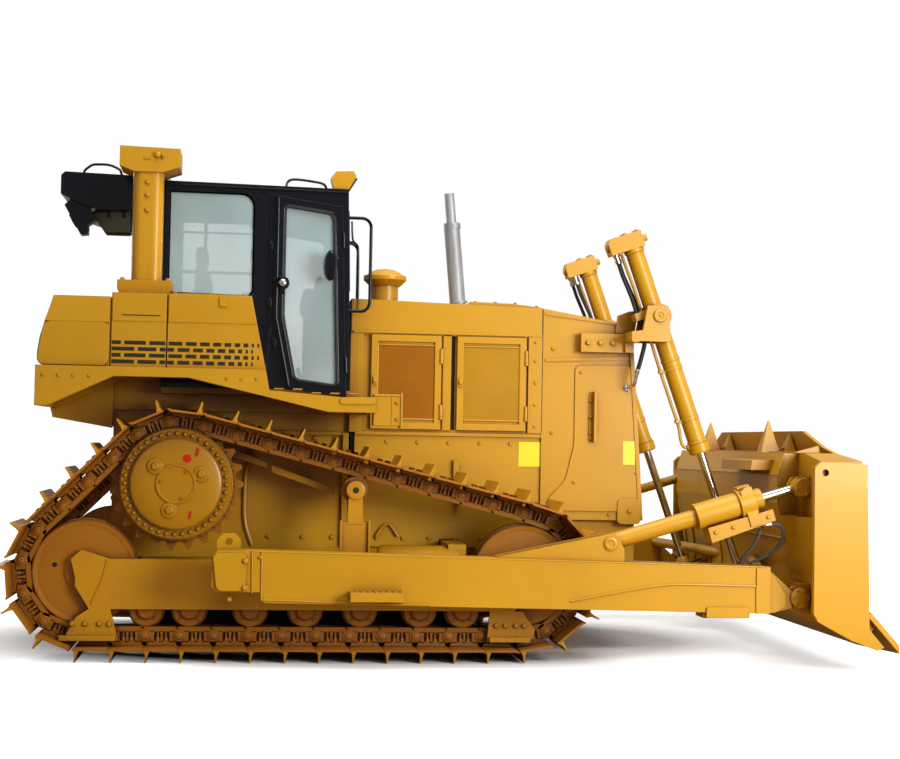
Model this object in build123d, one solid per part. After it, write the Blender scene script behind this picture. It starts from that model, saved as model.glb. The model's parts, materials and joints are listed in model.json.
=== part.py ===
from build123d import *
import math
import os

# Crawler bulldozer with raised drive sprockets, 24-tonne class.
# Frame: +X forwards to the blade, +Y to the machine's left, +Z up, millimetres.
# Origin: on the ground, midway between the rear lug tips and the blade tips,
# on the centre plane.  Most pieces are drawn for the left side and mirrored.

os.makedirs("parts", exist_ok=True)

# ------------------------------------------------------------ fits and gaps
PIN_CLEAR = 0.05        # radial running clearance of a pin in its bore
SWING_GAP = 6.0         # between a closed door and the panel behind it
WHEEL_GAP = 0.5         # between a wheel's tread and the rail that it meets
PLATE_GAP = 1.0         # between a moving eye and the lug beside it
PANEL_GAP = 8.0         # visible gap between neighbouring sheet metal boxes

# ------------------------------------------------------------ tracks
GAUGE_HALF = 990.0      # centre plane to track centre plane
SHOE_WIDTH = 560.0
LINK_PITCH = 217.0
LINK_COUNT = 39
CHAIN_START = 173.0     # first pin of the ground run, ahead of the rear idler
SPROCKET_TEETH = 23     # one link spans two teeth
LUG_HEIGHT = 72.0
LUG_ROOT = 30.0
LUG_TIP = 10.0
SHOE_THICK = 16.0
SHOE_SPLIT = 6.0        # between neighbouring shoes, along the chain
CHAIN_ABOVE = 62.0      # pin line to the shoe's inner face
CHAIN_BELOW = 58.0      # pin line to the rail's running surface
RAIL_INNER = 45.0       # track centre plane to a rail's inner side
RAIL_THICK = 40.0
REAR_IDLER_X = -2296.0
SPROCKET_X = -1729.0
SPROCKET_RISE = 570.0   # sprocket centre above the idler centres
IDLER_FLANGE = 10.0
ROLLER_RADIUS = 105.0
ROLLER_FLANGE = 12.0
ROLLER_X = (-1900.0, -1629.0, -1241.0, -886.0, -531.0, -143.0, 138.0)
CARRIER_X = -580.0
CARRIER_RADIUS = 85.0
CARRIER_FOOT = (98.0, 895.0)    # half width and top of the carrier post's foot
SHAFT_RADIUS = 48.0
FORK_IN = 110.0         # track centre plane to the track frame's side plates
FORK_THICK = 30.0
BEAM_LOW_Z = 460.0
BEAM_HIGH_Z = 640.0
PLATE_LOW_Z = 322.0     # lower edge of the track frame's side plates
REAR_FORK = ((-50.0, 468.0), (-50.0, 518.0), (-80.0, 637.0), (-17.0, 695.0), (165.0, 640.0))
FRONT_FORK = ((-250.0, 640.0), (80.0, 600.0), (110.0, 480.0), (-60.0, 322.0), (-2790.0, 322.0))
REAR_GUARD = ((-99.0, 122.0), (-96.0, 165.0), (-37.0, 272.0), (37.0, 322.0), (174.0, 322.0), (226.0, 122.0))
FRONT_GUARD = ((-238.0, 122.0), (-221.0, 322.0), (-3.0, 322.0), (79.0, 203.0), (70.0, 150.0), (30.0, 122.0))
TOOTH_REACH = 25.0      # sprocket tooth tips beyond the pin circle
TOOTH_ROOT = 40.0       # tooth roots inside the pin circle
COVER_RADIUS = 350.0
NECK_RADIUS = 312.0

LINK_TURN = 4 * math.pi / SPROCKET_TEETH
PIN_RADIUS = LINK_PITCH / 2 / math.sin(LINK_TURN / 2)
TIP_RISE = CHAIN_ABOVE + SHOE_THICK + LUG_HEIGHT
IDLER_Z = PIN_RADIUS + TIP_RISE
SPROCKET_Z = IDLER_Z + SPROCKET_RISE
RAIL_TOP_Z = TIP_RISE + CHAIN_BELOW
SHOE_IN = GAUGE_HALF - SHOE_WIDTH / 2
SHOE_OUT = GAUGE_HALF + SHOE_WIDTH / 2
TREAD_HALF = RAIL_INNER + RAIL_THICK
FLANGE_HALF = RAIL_INNER - 5.0
IDLER_RADIUS = math.sqrt(PIN_RADIUS ** 2 - (LINK_PITCH / 2) ** 2) - CHAIN_BELOW - WHEEL_GAP
ROLLER_Z = RAIL_TOP_Z + ROLLER_RADIUS + WHEEL_GAP

# The three wheels have one pin circle size, so the chain is as long as the
# triangle of their centres and one whole turn; the front idler closes it.
TURN_LENGTH = LINK_PITCH * 2 * math.pi / LINK_TURN
REAR_LEG = math.hypot(SPROCKET_X - REAR_IDLER_X, SPROCKET_RISE)
LEFT_OVER = LINK_COUNT * LINK_PITCH - TURN_LENGTH - REAR_LEG
FRONT_IDLER_X = REAR_IDLER_X + (LEFT_OVER ** 2 - REAR_LEG ** 2) / (
    2 * (LEFT_OVER - SPROCKET_X + REAR_IDLER_X))
UPPER_ANGLE = math.atan2(-SPROCKET_RISE, FRONT_IDLER_X - SPROCKET_X)
CARRIER_Z = (SPROCKET_Z + (CARRIER_X - SPROCKET_X) * math.tan(UPPER_ANGLE)
             + (PIN_RADIUS - CHAIN_BELOW - CARRIER_RADIUS - WHEEL_GAP) / math.cos(UPPER_ANGLE))

# ------------------------------------------------------------ chassis
CASE_HALF = 560.0       # half width of the main frame
SIDE_THICK = 25.0       # engine bay side wall
HOOD_STEP = 15.0        # hood and nose guard stand proud of the side walls
BAY_HALF = CASE_HALF + SIDE_THICK
BODY_HALF = BAY_HALF + HOOD_STEP
BELLY_Z = 404.0
RAIL_Z = 900.0          # top of the frame rails
RAIL_WIDTH = 160.0
CASE_REAR_X = -2180.0
CASE_TOP_Z = 1480.0
FRAME_FRONT_X = 1400.0
BAR_X = (40.0, 160.0)   # equaliser bar
BAR_HEIGHT = 110.0
PLATFORM_LOW_Z = 1600.0
PLATFORM_Z = 1712.0
HOOD_REAR_X = -600.0
CASE_FRONT_X = HOOD_REAR_X
HOOD_FRONT_X = 727.0
HOOD_LOW_Z = 2165.0
HOOD_REAR_Z = 2390.0
HOOD_FRONT_Z = 2358.0
HOOD_SHEET = 30.0
WALL_THICK = 40.0       # firewall and the hood's rear end
SIDE_LOW_Z = 700.0
BELLY_PLATE = 26.0
BELLY_SLOPE_Z = 560.0   # top of the belly's slanted toe and heel
TOE_LENGTH = 260.0
HEEL_LENGTH = 200.0
DRAWBAR_LENGTH = 170.0
DRAWBAR_HALF = 60.0
DRAWBAR_Z = (600.0, 680.0)
DRAWBAR_BORE = 27.0
ENGINE_X = (-530.0, 640.0)
ENGINE_Z = (760.0, 1900.0)
CORE_X = (1130.0, 1230.0)
CORE_HIGH_Z = 2150.0
STACK_LEAN = -0.097     # rearward shift for each unit of height
STACK_FOOT_X = 210.0
STACK_STEP_Z = 3010.0   # the wide lower pipe ends here
STACK_TOP_Z = 3224.0
STACK_RADII = (57.5, 36.0)
CLEANER_X = -328.0
# pre-cleaner profile: radius, height
CLEANER = ((96.0, 2350.0), (96.0, 2536.0), (110.0, 2536.0), (150.0, 2576.0), (150.0, 2605.0),
           (100.0, 2639.0), (60.0, 2655.0))

ENGINE_DOORS = {"rear": (-457.0, 24.0), "front": (134.0, 614.0)}
DOOR_LOW_Z = 1505.0
DOOR_HIGH_Z = 2148.0
DOOR_THICK = 22.0
DOOR_LAP = 18.0
DOOR_BORDER = 45.0
DOOR_RECESS = 11.0
KNUCKLE_RADIUS = 12.0
KNUCKLE_HEIGHT = 80.0
LUG_RISE = 22.0         # height of the fixed lug under a knuckle
HINGE_PIN = 6.0

GUARD_FOOT = (1453.0, 900.0)
GUARD_MID = (1392.0, 1738.0)
GUARD_HEAD = (1345.0, 2200.0)
GUARD_BROW = (1262.0, 2268.0)
GUARD_WALL = 40.0
GRILLE_MARGIN = 160.0
GRILLE_LOW_Z = 1020.0
GRILLE_HIGH_Z = 2120.0
GRILLE_THICK = 24.0
GRILLE_BARS = 14

# ------------------------------------------------------------ cab
CAB_HALF = 750.0
CAB_REAR_X = -1862.0
CAB_FRONT_LOW_X = -607.0
CAB_FRONT_HIGH_X = -642.0
CAB_TOP_Z = 3131.0
CAB_FALL = 16.0         # roof line drop from rear to front
CAB_WALL = 60.0
CAB_FLOOR = 40.0
CAB_DOOR = ((-634.0, 1715.0), (-680.0, 2990.0), (-1125.0, 3050.0), (-1125.0, 2230.0), (-1030.0, 1765.0))
CAB_DOOR_THICK = 34.0
CAB_DOOR_RIM = 56.0
CAB_DOOR_LAP = 25.0
SIDE_WINDOW_X = (-1832.0, -1268.0)
SIDE_WINDOW_Z = (2380.0, 3062.0)
WINDSCREEN_Z = (2440.0, 2980.0)
REAR_WINDOW_Z = (2420.0, 2900.0)
WINDOW_SIDE = 140.0     # cab side to the windscreen's and rear window's edge
GLASS_THICK = 6.0
ROOF_BOX_HALF = 600.0
ROOF_BOX = ((-2565.0, 3040.0), (-2464.0, 2990.0), (-2315.0, 2940.0), (CAB_REAR_X, 2948.0),
            (CAB_REAR_X, 3174.0), (-2540.0, 3190.0), (-2565.0, 3165.0))
# filter box under the right side of the roof box, and its sides' Y
ROOF_DUCT = ((-2325.0, 2960.0), (-2363.0, 2934.0), (-2277.0, 2803.0), (-2112.0, 2806.0), (-2112.0, 2960.0))
ROOF_DUCT_Y = (-510.0, -330.0)
# lamp outlines: the roof lamp's heights are above the roof's front edge
ROOF_LAMP = ((-742.0, -5.0), (-645.0, -5.0), (-590.0, 92.0), (-612.0, 128.0), (-728.0, 122.0), (-762.0, 80.0))
REAR_LAMP = ((-2540.0, 2967.0), (-2500.0, 3012.0), (-2400.0, 3000.0), (-2363.0, 2939.0), (-2329.0, 2878.0),
             (-2383.0, 2837.0), (-2381.0, 2778.0), (-2430.0, 2771.0))
LAMP_Y = CAB_HALF - 20.0    # outer side of the roof lamps
LAMP_WIDTH = 130.0
REAR_LAMP_WIDTH = 110.0
REAR_LAMP_INSET = 20.0
GRAB_X = -484.0
GRAB_Z = (2294.0, 2926.0)
GRAB_FOOT = 15.0        # rail centre line above and below the ends of its posts
GRAB_Y = CAB_HALF - 35.0
GRAB_RADIUS = 11.0
GRAB_BEND = 62.0
SEAT_RISE = 300.0
SEAT_HALF = 240.0
SEAT_X = (-1560.0, -1060.0)
SEAT_THICK = 140.0
SEAT_BACK_X = (-1660.0, -1540.0)
SEAT_BACK_RISE = 720.0
SEAT_BASE_INSET = 80.0
CONSOLE_REAR_X = -900.0
CONSOLE_HALF = 420.0
CONSOLE_HEIGHT = 600.0

# ------------------------------------------------------------ rear body
BOX_IN = CAB_HALF + 20.0
BOX_WIDTH = 430.0
BOX_OUT = BOX_IN + BOX_WIDTH
FENDER_LIP = 50.0
FENDER_WALL = 40.0
FENDER_LOW = ((-2615.0, 1606.0), (-2540.0, 1606.0), (-2132.0, 1800.0), (-1662.0, 1800.0), (-772.0, 1600.0),
              (-470.0, 1600.0), (-470.0, 1680.0))
FENDER_ARCH = ((-2560.0, 1590.0), (-2560.0, 1640.0), (-2150.0, 1835.0), (-1650.0, 1835.0), (-800.0, 1650.0),
               (-500.0, 1650.0), (-500.0, 1590.0))
STEP_Z = 1730.0         # top of the step in front of the service box
BRACKET_X = (-480.0, -301.0)
BRACKET_Z = (1519.0, 1716.0)
BRACKET_WIDTH = 170.0
FENDER_OUT = BOX_OUT + FENDER_LIP
FENDER_Z = 1860.0
BOX_HIGH_Z = 2334.0
BOX_REAR_X = -2155.0
BOX_SEAM_X = -1806.0
BOX_FRONT_LOW_X = -1175.0
BOX_FRONT_HIGH_X = -1274.0
TANK_REAR_X = -2612.0
POST_X = (-2062.0, -1865.0)
POST_IN = CAB_HALF + 50.0
POST_WIDTH = 200.0
POST_FOOT = 100.0
POST_ROUND = 62.0
POST_LAP = 20.0         # the post's foot beyond the post, on each side
TANK_SLOPE = ((95.0, 2306.0), (43.0, 2144.0), (14.0, 2040.0), (0.0, 1945.0))  # forward of TANK_REAR_X, height
TANK_ROUND = 48.0
HEAD_X = (-2147.0, -1759.0)     # head of each post
HEAD_Z = (3142.0, 3308.0)
HEAD_WIDTH = 320.0
HEAD_CHAMFER = 37.0
HEAD_FALL = 10.0
BEAM_X = (-2040.0, -1885.0)     # cross beam between the heads
BEAM_Z = (3202.0, 3290.0)

# ------------------------------------------------------------ dozer
TRUNNION_X = -1352.0
TRUNNION_Z = 563.0
TRUNNION_RADIUS = 70.0
ARM_GAP = 70.0          # track shoes to the arm
ARM_WIDTH = 220.0
ARM_IN = SHOE_OUT + ARM_GAP
ARM_OUT = ARM_IN + ARM_WIDTH
ARM_MID = (ARM_IN + ARM_OUT) / 2
ARM_REAR_X = -1240.0
ARM_FRONT_X = 2059.0
ARM_BEAM = ((ARM_REAR_X, 727.0), (-1156.0, 409.0), (ARM_FRONT_X, 362.0), (ARM_FRONT_X, 658.0))
ARM_CASTING = ((ARM_FRONT_X, 640.0), (ARM_FRONT_X, 366.0), (2100.0, 366.0))
CASTING_INSET = 35.0
LIFTING_EYE = ((-1454.0, 720.0), (-1454.0, 790.0), (-1420.0, 829.0), (-1340.0, 829.0), (-1307.0, 790.0),
               (-1307.0, 720.0))
EYE_HOLE = (-1380.0, 780.0)
EYE_HOLE_RADIUS = 22.0
WEAR_PAD = (1626.0, 1929.0, 330.0, 380.0)      # x0, x1, z0, z1
ARM_STEP = (-631.0, -299.0, 428.0, 486.0)
ARM_STEP_WIDTH = 110.0
TILT_LUG = ((300.0, 660.0), (1110.0, 640.0), (1110.0, 760.0), (1060.0, 855.0), (985.0, 850.0), (300.0, 705.0))
BALL_X = 2215.0
BALL_Z = 455.0
BLADE_OVERHANG = 190.0
BLADE_HALF = ARM_OUT + BLADE_OVERHANG
WING_WIDTH = 450.0
WING_Y = BLADE_HALF - WING_WIDTH
WING_FORWARD = 105.0
WING_PLATE = 40.0
EDGE_SLOPE = math.radians(48.0)
EDGE_ABOVE = 110.0
EDGE_BELOW = 210.0
EDGE_THICK = 32.0
FACE_LOW = (2600.0, 290.0)
FACE_MID = (2418.0, 822.0)
FACE_HIGH = (2525.0, 1370.0)
GUARD_FRONT = (2495.0, 1540.0)
GUARD_BACK = (2467.0, 1540.0)
BLADE_BACK = ((2530.0, 214.0), (2281.0, 357.0), (2279.0, 600.0), (2244.0, 837.0), (2190.0, 1060.0),
              (2190.0, 1250.0), (2236.0, 1388.0), (2497.0, 1392.0))
GUSSETS = ((2239.0, 2373.0, 720.0, 55.0, 2307.0, 1612.0), (2405.0, 2492.0, 720.0, 65.0, 2457.0, 1520.0))
SPILL_FLAT = 950.0      # half width of the spill guard's level top
SPILL_TOP_Z = 1541.0
SPILL_END_Z = (1385.0, 1336.0)
END_PLATE = ((2281.0, 1300.0), (2318.0, 1337.0), (2440.0, 1342.0), (2625.0, 1324.0), (2647.0, 284.0),
             (2745.0, 172.0), (2700.0, 152.0), (2530.0, 214.0), (2310.0, 330.0), (2281.0, 380.0))
END_PLATE_HOLE = (2350.0, 1270.0)
LIFT_EAR = ((2290.0, 560.0), (2190.0, 520.0), (2095.0, 460.0), (2095.0, 375.0), (2190.0, 330.0), (2330.0, 340.0))
HOSE_COVER = ((2060.0, 1272.0), (2066.0, 1336.0), (2240.0, 1344.0), (2240.0, 1272.0))
HOSE_COVER_Y = (-1120.0, -430.0)
BRACE_ENDS = ((2030.0, 640.0), (2330.0, 620.0))
BRACE_END_Y = 300.0
BRACE_RADIUS = 38.0

LIFT_Y = BODY_HALF + 170.0
YOKE_PIN = (1484.0, 2306.0)
ROD_PIN = (2150.0, 420.0)
BARREL_RADIUS = 62.5
BARREL_BORE = 50.0
ROD_RADIUS = 28.5
PISTON_GAP = 0.5
BARREL_ABOVE = 490.0    # yoke pin to the barrel's closed end
BARREL_BELOW = 975.0    # yoke pin to the gland
BARREL_HEAD = 112.0
CLAMP_ABOVE = 66.0      # yoke pin to the hose clamp's upper face
GLAND_LENGTH = 60.0
GLAND_RADIUS = 74.0
ROD_INSIDE = 600.0
PISTON_LENGTH = 50.0
EYE_RADIUS = 85.0
EYE_BORE = 60.0
EYE_WIDTH = 70.0
LIFT_PIN_RADIUS = 32.0
EAR_GAP = 6.0
EAR_THICK = 30.0
TRUNNION_BLOCK = 88.0
YOKE_PIN_RADIUS = 32.0
CHEEK_IN = 90.0         # lift cylinder's plane to the yoke's cheeks
CHEEK_THICK = 28.0
YOKE_CHEEK = ((1290.0, 2130.0), (1562.0, 2130.0), (1545.0, 2375.0), (1400.0, 2375.0), (1368.0, 2205.0),
              (1290.0, 2195.0))
YOKE_BAR = (1290.0, 1340.0, 2130.0, 2195.0)    # x0, x1, z0, z1
YOKE_PAD = (985.0, 1300.0, 2060.0, 2190.0)
YOKE_PAD_WIDTH = 70.0

TILT_REAR = (1020.0, 795.0)
TILT_FRONT = (2285.0, 1171.0)
TILT_TUBE = 53.5
TILT_BARREL = 85.0
TILT_ROD = 29.0
TILT_PIN = 32.0
TILT_EYE = 39.0         # half width of an eye
TILT_SPAN = (600.0, 925.0, 985.0, 1045.0)  # barrel start, collar, gland, gland end


# ------------------------------------------------------------ helpers
def block(x0, x1, y0, y1, z0, z1):
    """Box between two corners."""
    middle = ((x0 + x1) / 2, (y0 + y1) / 2, (z0 + z1) / 2)
    return Pos(*middle) * Box(x1 - x0, y1 - y0, z1 - z0)


def outline_face(outline, y=0.0):
    """Flat face with straight sides in the plane of one Y."""
    return make_face(Polyline(*[(x, y, z) for x, z in outline], close=True))


def slab(outline, y0, y1):
    """Outline of (x, z) points, run from y0 to y1."""
    return extrude(outline_face(outline, y0), amount=y1 - y0, dir=(0, 1, 0))


def disc(centre, radius, y0, y1):
    """Round bar along Y about an (x, z) centre."""
    return Pos(centre[0], (y0 + y1) / 2, centre[1]) * Rot(90, 0, 0) * Cylinder(radius, y1 - y0)


def bar(start, end, radius):
    """Round bar between two points."""
    start, end = Vector(*start), Vector(*end)
    return extrude(Plane(origin=start, z_dir=end - start) * Circle(radius), amount=(end - start).length)


def tube(points, radii, radius):
    """Round bar along straight runs joined by tangent arcs."""
    path = FilletPolyline(*points, radius=radii)
    return sweep(Plane(origin=path @ 0, z_dir=path % 0) * Circle(radius), path=path)


def inset_slab(outline, distance, y0, y1):
    """Outline moved inwards by a distance, run from y0 to y1."""
    flat = offset(make_face(Polyline(*outline, close=True)), amount=-distance, kind=Kind.INTERSECTION)
    upright = Pos(0, y0, 0) * Rot(90, 0, 0) * flat
    return extrude(upright, amount=y1 - y0, dir=(0, 1, 0))


def mirrored(shape):
    """The same shape on the other side of the machine."""
    return mirror(shape, about=Plane.XZ)


def both(*shapes):
    """Shapes and their mirror images as separate solids."""
    solids = [solid for shape in shapes for solid in shape.solids()]
    return Compound(children=solids + [mirrored(solid) for solid in solids])


def save(name, shape):
    """Write one node."""
    export_step(shape, f"parts/{name}.step")


def save_sides(name, shape):
    """Write a left node and its mirror image on the right."""
    save(f"{name}_left", shape)
    save(f"{name}_right", mirrored(shape))


# ------------------------------------------------------------ undercarriage
def chain_pins():
    """Pin centres round the chain as (x, z), from the ground run's rear end."""
    wheels = [(REAR_IDLER_X, IDLER_Z), (FRONT_IDLER_X, IDLER_Z), (SPROCKET_X, SPROCKET_Z)]
    runs = [(here, after, math.atan2(after[1] - here[1], after[0] - here[0]))
            for here, after in zip(wheels, wheels[1:] + wheels[:1])]
    pins = []
    travel = CHAIN_START
    for index, (here, after, angle) in enumerate(runs):
        length = math.dist(here, after)
        while travel < length:
            pins.append((here[0] + travel * math.cos(angle) + PIN_RADIUS * math.sin(angle),
                         here[1] + travel * math.sin(angle) - PIN_RADIUS * math.cos(angle)))
            travel += LINK_PITCH
        travel -= length
        turn = (runs[(index + 1) % len(runs)][2] - angle) % (2 * math.pi)
        while travel < turn / LINK_TURN * LINK_PITCH:
            heading = angle + travel / LINK_PITCH * LINK_TURN
            pins.append((after[0] + PIN_RADIUS * math.sin(heading),
                         after[1] - PIN_RADIUS * math.cos(heading)))
            travel += LINK_PITCH
        travel -= turn / LINK_TURN * LINK_PITCH
    return pins[:LINK_COUNT]


def chain_offset(pins, distance):
    """Closed outline parallel to the chain's chords, outwards from the pin line."""
    outline = []
    for index, pin in enumerate(pins):
        before, after = pins[index - 1], pins[(index + 1) % len(pins)]
        arriving = math.atan2(pin[1] - before[1], pin[0] - before[0])
        turn = (math.atan2(after[1] - pin[1], after[0] - pin[0]) - arriving) % (2 * math.pi)
        heading = arriving + turn / 2
        reach = distance / math.cos(turn / 2)
        outline.append((pin[0] + reach * math.sin(heading), pin[1] - reach * math.cos(heading)))
    return outline


def shoe_outline(pins):
    """Outer outline of all the shoes with their lugs."""
    outline = []
    face = CHAIN_ABOVE + SHOE_THICK
    lug = LUG_ROOT / 2 + SHOE_SPLIT
    for index, pin in enumerate(pins):
        after = pins[(index + 1) % len(pins)]
        heading = math.atan2(after[1] - pin[1], after[0] - pin[0])
        end = math.dist(pin, after) - SHOE_SPLIT / 2
        profile = ((SHOE_SPLIT / 2, face - SHOE_THICK / 2), (SHOE_SPLIT / 2, face),
                   (lug - LUG_TIP / 2, face + LUG_HEIGHT), (lug + LUG_TIP / 2, face + LUG_HEIGHT),
                   (lug + LUG_ROOT / 2, face), (end, face), (end, face - SHOE_THICK / 2))
        for run, rise in profile:
            outline.append((pin[0] + run * math.cos(heading) + rise * math.sin(heading),
                            pin[1] + run * math.sin(heading) - rise * math.cos(heading)))
    return outline


def make_track():
    """One track: all the shoes and two link rails, as one fixed loop."""
    pins = chain_pins()
    track = slab(shoe_outline(pins), SHOE_IN, SHOE_OUT)
    track -= slab(chain_offset(pins, CHAIN_ABOVE), SHOE_IN, SHOE_OUT)
    for low_y in (GAUGE_HALF - TREAD_HALF, GAUGE_HALF + RAIL_INNER):
        rail = slab(chain_offset(pins, CHAIN_ABOVE + SHOE_THICK / 4), low_y, low_y + RAIL_THICK)
        rail -= slab(chain_offset(pins, -CHAIN_BELOW), low_y, low_y + RAIL_THICK)
        track += rail
    return track


def make_wheel(centre, radius, flange):
    """Idler or roller: two treads, a centre flange and a shaft."""
    wheel = disc(centre, radius, GAUGE_HALF - TREAD_HALF, GAUGE_HALF + TREAD_HALF)
    wheel += disc(centre, radius + flange, GAUGE_HALF - FLANGE_HALF, GAUGE_HALF + FLANGE_HALF)
    return wheel + disc(centre, SHAFT_RADIUS, GAUGE_HALF - FORK_IN, GAUGE_HALF + FORK_IN)


def make_track_frame():
    """Box beam between two side plates, with link guards and trunnion shafts."""
    reach = IDLER_RADIUS + IDLER_FLANGE + 12
    frame = block(REAR_IDLER_X + reach, FRONT_IDLER_X - reach, GAUGE_HALF - FORK_IN,
                  GAUGE_HALF + FORK_IN, BEAM_LOW_Z, BEAM_HIGH_Z)
    outline = ([(REAR_IDLER_X + x, z) for x, z in REAR_FORK]
               + [(FRONT_IDLER_X + x, z) for x, z in FRONT_FORK])
    for low_y in (GAUGE_HALF - FORK_IN - FORK_THICK, GAUGE_HALF + FORK_IN):
        frame += slab(outline, low_y, low_y + FORK_THICK)
    plate_y = GAUGE_HALF + FORK_IN
    for centre_x, guard in ((REAR_IDLER_X, REAR_GUARD), (FRONT_IDLER_X, FRONT_GUARD)):
        frame += slab([(centre_x + x, z) for x, z in guard], plate_y, plate_y + FORK_THICK)
    post_y = plate_y + FORK_THICK + 30
    frame += block(CARRIER_X - CARRIER_FOOT[0], CARRIER_X + CARRIER_FOOT[0], plate_y, post_y, BEAM_HIGH_Z - 60,
                   CARRIER_FOOT[1])
    frame += block(CARRIER_X - 38, CARRIER_X + 38, plate_y, post_y, BEAM_HIGH_Z, CARRIER_Z)
    frame += disc((CARRIER_X, CARRIER_Z), 62, plate_y, post_y + 8)
    trunnion = (TRUNNION_X, TRUNNION_Z)
    frame += disc(trunnion, TRUNNION_RADIUS, plate_y, ARM_OUT - 20)
    return frame + disc(trunnion, TRUNNION_RADIUS + 10, CASE_HALF, GAUGE_HALF - FORK_IN)


def make_final_drive():
    """Final drive housing, sprocket and outer cover of one side."""
    centre = (SPROCKET_X, SPROCKET_Z)
    disc_half = FLANGE_HALF - 5
    drive = disc(centre, 280, CASE_HALF, GAUGE_HALF - disc_half)
    teeth = []
    for tooth in range(SPROCKET_TEETH):
        for part, reach in ((-0.12, TOOTH_REACH), (0.12, TOOTH_REACH), (0.36, -TOOTH_ROOT), (0.64, -TOOTH_ROOT)):
            angle = (tooth + part) / SPROCKET_TEETH * 2 * math.pi
            teeth.append((SPROCKET_X + (PIN_RADIUS + reach) * math.cos(angle),
                          SPROCKET_Z + (PIN_RADIUS + reach) * math.sin(angle)))
    drive += slab(teeth, GAUGE_HALF - disc_half, GAUGE_HALF + disc_half)
    cover_y = GAUGE_HALF + TREAD_HALF + 10
    drive += disc(centre, NECK_RADIUS, GAUGE_HALF + disc_half, cover_y)
    drive += disc(centre, COVER_RADIUS, cover_y, cover_y + 35)
    drive += disc(centre, COVER_RADIUS - 60, cover_y + 35, cover_y + 60)
    hub = disc(centre, 118, cover_y + 60, cover_y + 80)
    for angle in (140, 22, 257):
        spot = (SPROCKET_X + 172 * math.cos(math.radians(angle)), SPROCKET_Z + 172 * math.sin(math.radians(angle)))
        hub += disc(spot, 42, cover_y + 60, cover_y + 74)
    return drive + hub


save_sides("track", make_track())
save("idlers", both(*[make_wheel((x, IDLER_Z), IDLER_RADIUS, IDLER_FLANGE)
                      for x in (REAR_IDLER_X, FRONT_IDLER_X)]))
carrier = disc((CARRIER_X, CARRIER_Z), CARRIER_RADIUS, GAUGE_HALF - TREAD_HALF, GAUGE_HALF + TREAD_HALF)
carrier += disc((CARRIER_X, CARRIER_Z), SHAFT_RADIUS, GAUGE_HALF, GAUGE_HALF + FORK_IN)
save("rollers", both(carrier, *[make_wheel((x, ROLLER_Z), ROLLER_RADIUS, ROLLER_FLANGE) for x in ROLLER_X]))
save("track_frames", both(make_track_frame()))
save("final_drives", both(make_final_drive()))


# ------------------------------------------------------------ chassis
def make_main_frame():
    """Rear case and two frame rails on a belly plate."""
    frame = block(CASE_REAR_X, CASE_FRONT_X, -CASE_HALF, CASE_HALF, BELLY_Z, CASE_TOP_Z)
    frame += block(CASE_FRONT_X, FRAME_FRONT_X, -CASE_HALF, CASE_HALF, BELLY_Z, RAIL_Z)
    frame -= block(CASE_FRONT_X + 60, FRAME_FRONT_X - 60, -CASE_HALF + RAIL_WIDTH, CASE_HALF - RAIL_WIDTH,
                   BELLY_Z + BELLY_PLATE, RAIL_Z + 1)
    # slanted toe and heel of the belly
    frame -= slab([(FRAME_FRONT_X + 1, BELLY_Z - 1), (FRAME_FRONT_X - TOE_LENGTH, BELLY_Z - 1),
                   (FRAME_FRONT_X + 1, BELLY_SLOPE_Z)], -CASE_HALF - 1, CASE_HALF + 1)
    frame -= slab([(CASE_REAR_X - 1, BELLY_Z - 1), (CASE_REAR_X + HEEL_LENGTH, BELLY_Z - 1),
                   (CASE_REAR_X - 1, BELLY_SLOPE_Z)], -CASE_HALF - 1, CASE_HALF + 1)
    return frame - block(BAR_X[0] - PANEL_GAP, BAR_X[1] + PANEL_GAP, -CASE_HALF - 1, CASE_HALF + 1,
                         BEAM_HIGH_Z - PANEL_GAP, BEAM_HIGH_Z + BAR_HEIGHT)


def make_platform():
    """Floor under the cab, carried on the rear case, with the tank's rest."""
    rear_x = CASE_REAR_X - 380
    platform = block(rear_x, HOOD_REAR_X, -BODY_HALF, BODY_HALF, PLATFORM_LOW_Z, PLATFORM_Z)
    platform += block(CASE_REAR_X, HOOD_REAR_X, -CASE_HALF, CASE_HALF, CASE_TOP_Z, PLATFORM_LOW_Z)
    return platform + block(rear_x, CAB_REAR_X - PANEL_GAP, -BODY_HALF, BODY_HALF, PLATFORM_Z, FENDER_Z)


def make_bay_side():
    """Engine bay side wall with two door openings and the fixed hinge halves."""
    side = block(HOOD_REAR_X + WALL_THICK, HOOD_FRONT_X, CASE_HALF, BAY_HALF, SIDE_LOW_Z, HOOD_LOW_Z)
    side -= block(BAR_X[0] - PANEL_GAP, BAR_X[1] + PANEL_GAP, CASE_HALF - 1, BAY_HALF + 1,
                  SIDE_LOW_Z - 1, BEAM_HIGH_Z + BAR_HEIGHT + PANEL_GAP)
    for rear_x, front_x in ENGINE_DOORS.values():
        side -= block(rear_x + DOOR_LAP, front_x - DOOR_LAP, CASE_HALF - 1, BAY_HALF + 1,
                      DOOR_LOW_Z + DOOR_LAP, DOOR_HIGH_Z - DOOR_LAP)
        for start in knuckle_starts(DOOR_LOW_Z, DOOR_HIGH_Z):
            side += block(front_x - KNUCKLE_RADIUS, front_x + KNUCKLE_RADIUS, BAY_HALF, DOOR_AXIS_Y,
                          start - LUG_RISE, start - PLATE_GAP)
            side += bar((front_x, DOOR_AXIS_Y, start - LUG_RISE), (front_x, DOOR_AXIS_Y, start - PLATE_GAP),
                        KNUCKLE_RADIUS)
            side += bar((front_x, DOOR_AXIS_Y, start - 2 * PLATE_GAP),
                        (front_x, DOOR_AXIS_Y, start + KNUCKLE_HEIGHT), HINGE_PIN)
    return side


def knuckle_starts(low_z, high_z):
    """Lower ends of a door's two hinge knuckles."""
    return (low_z + 90, high_z - 90 - KNUCKLE_HEIGHT)


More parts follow.
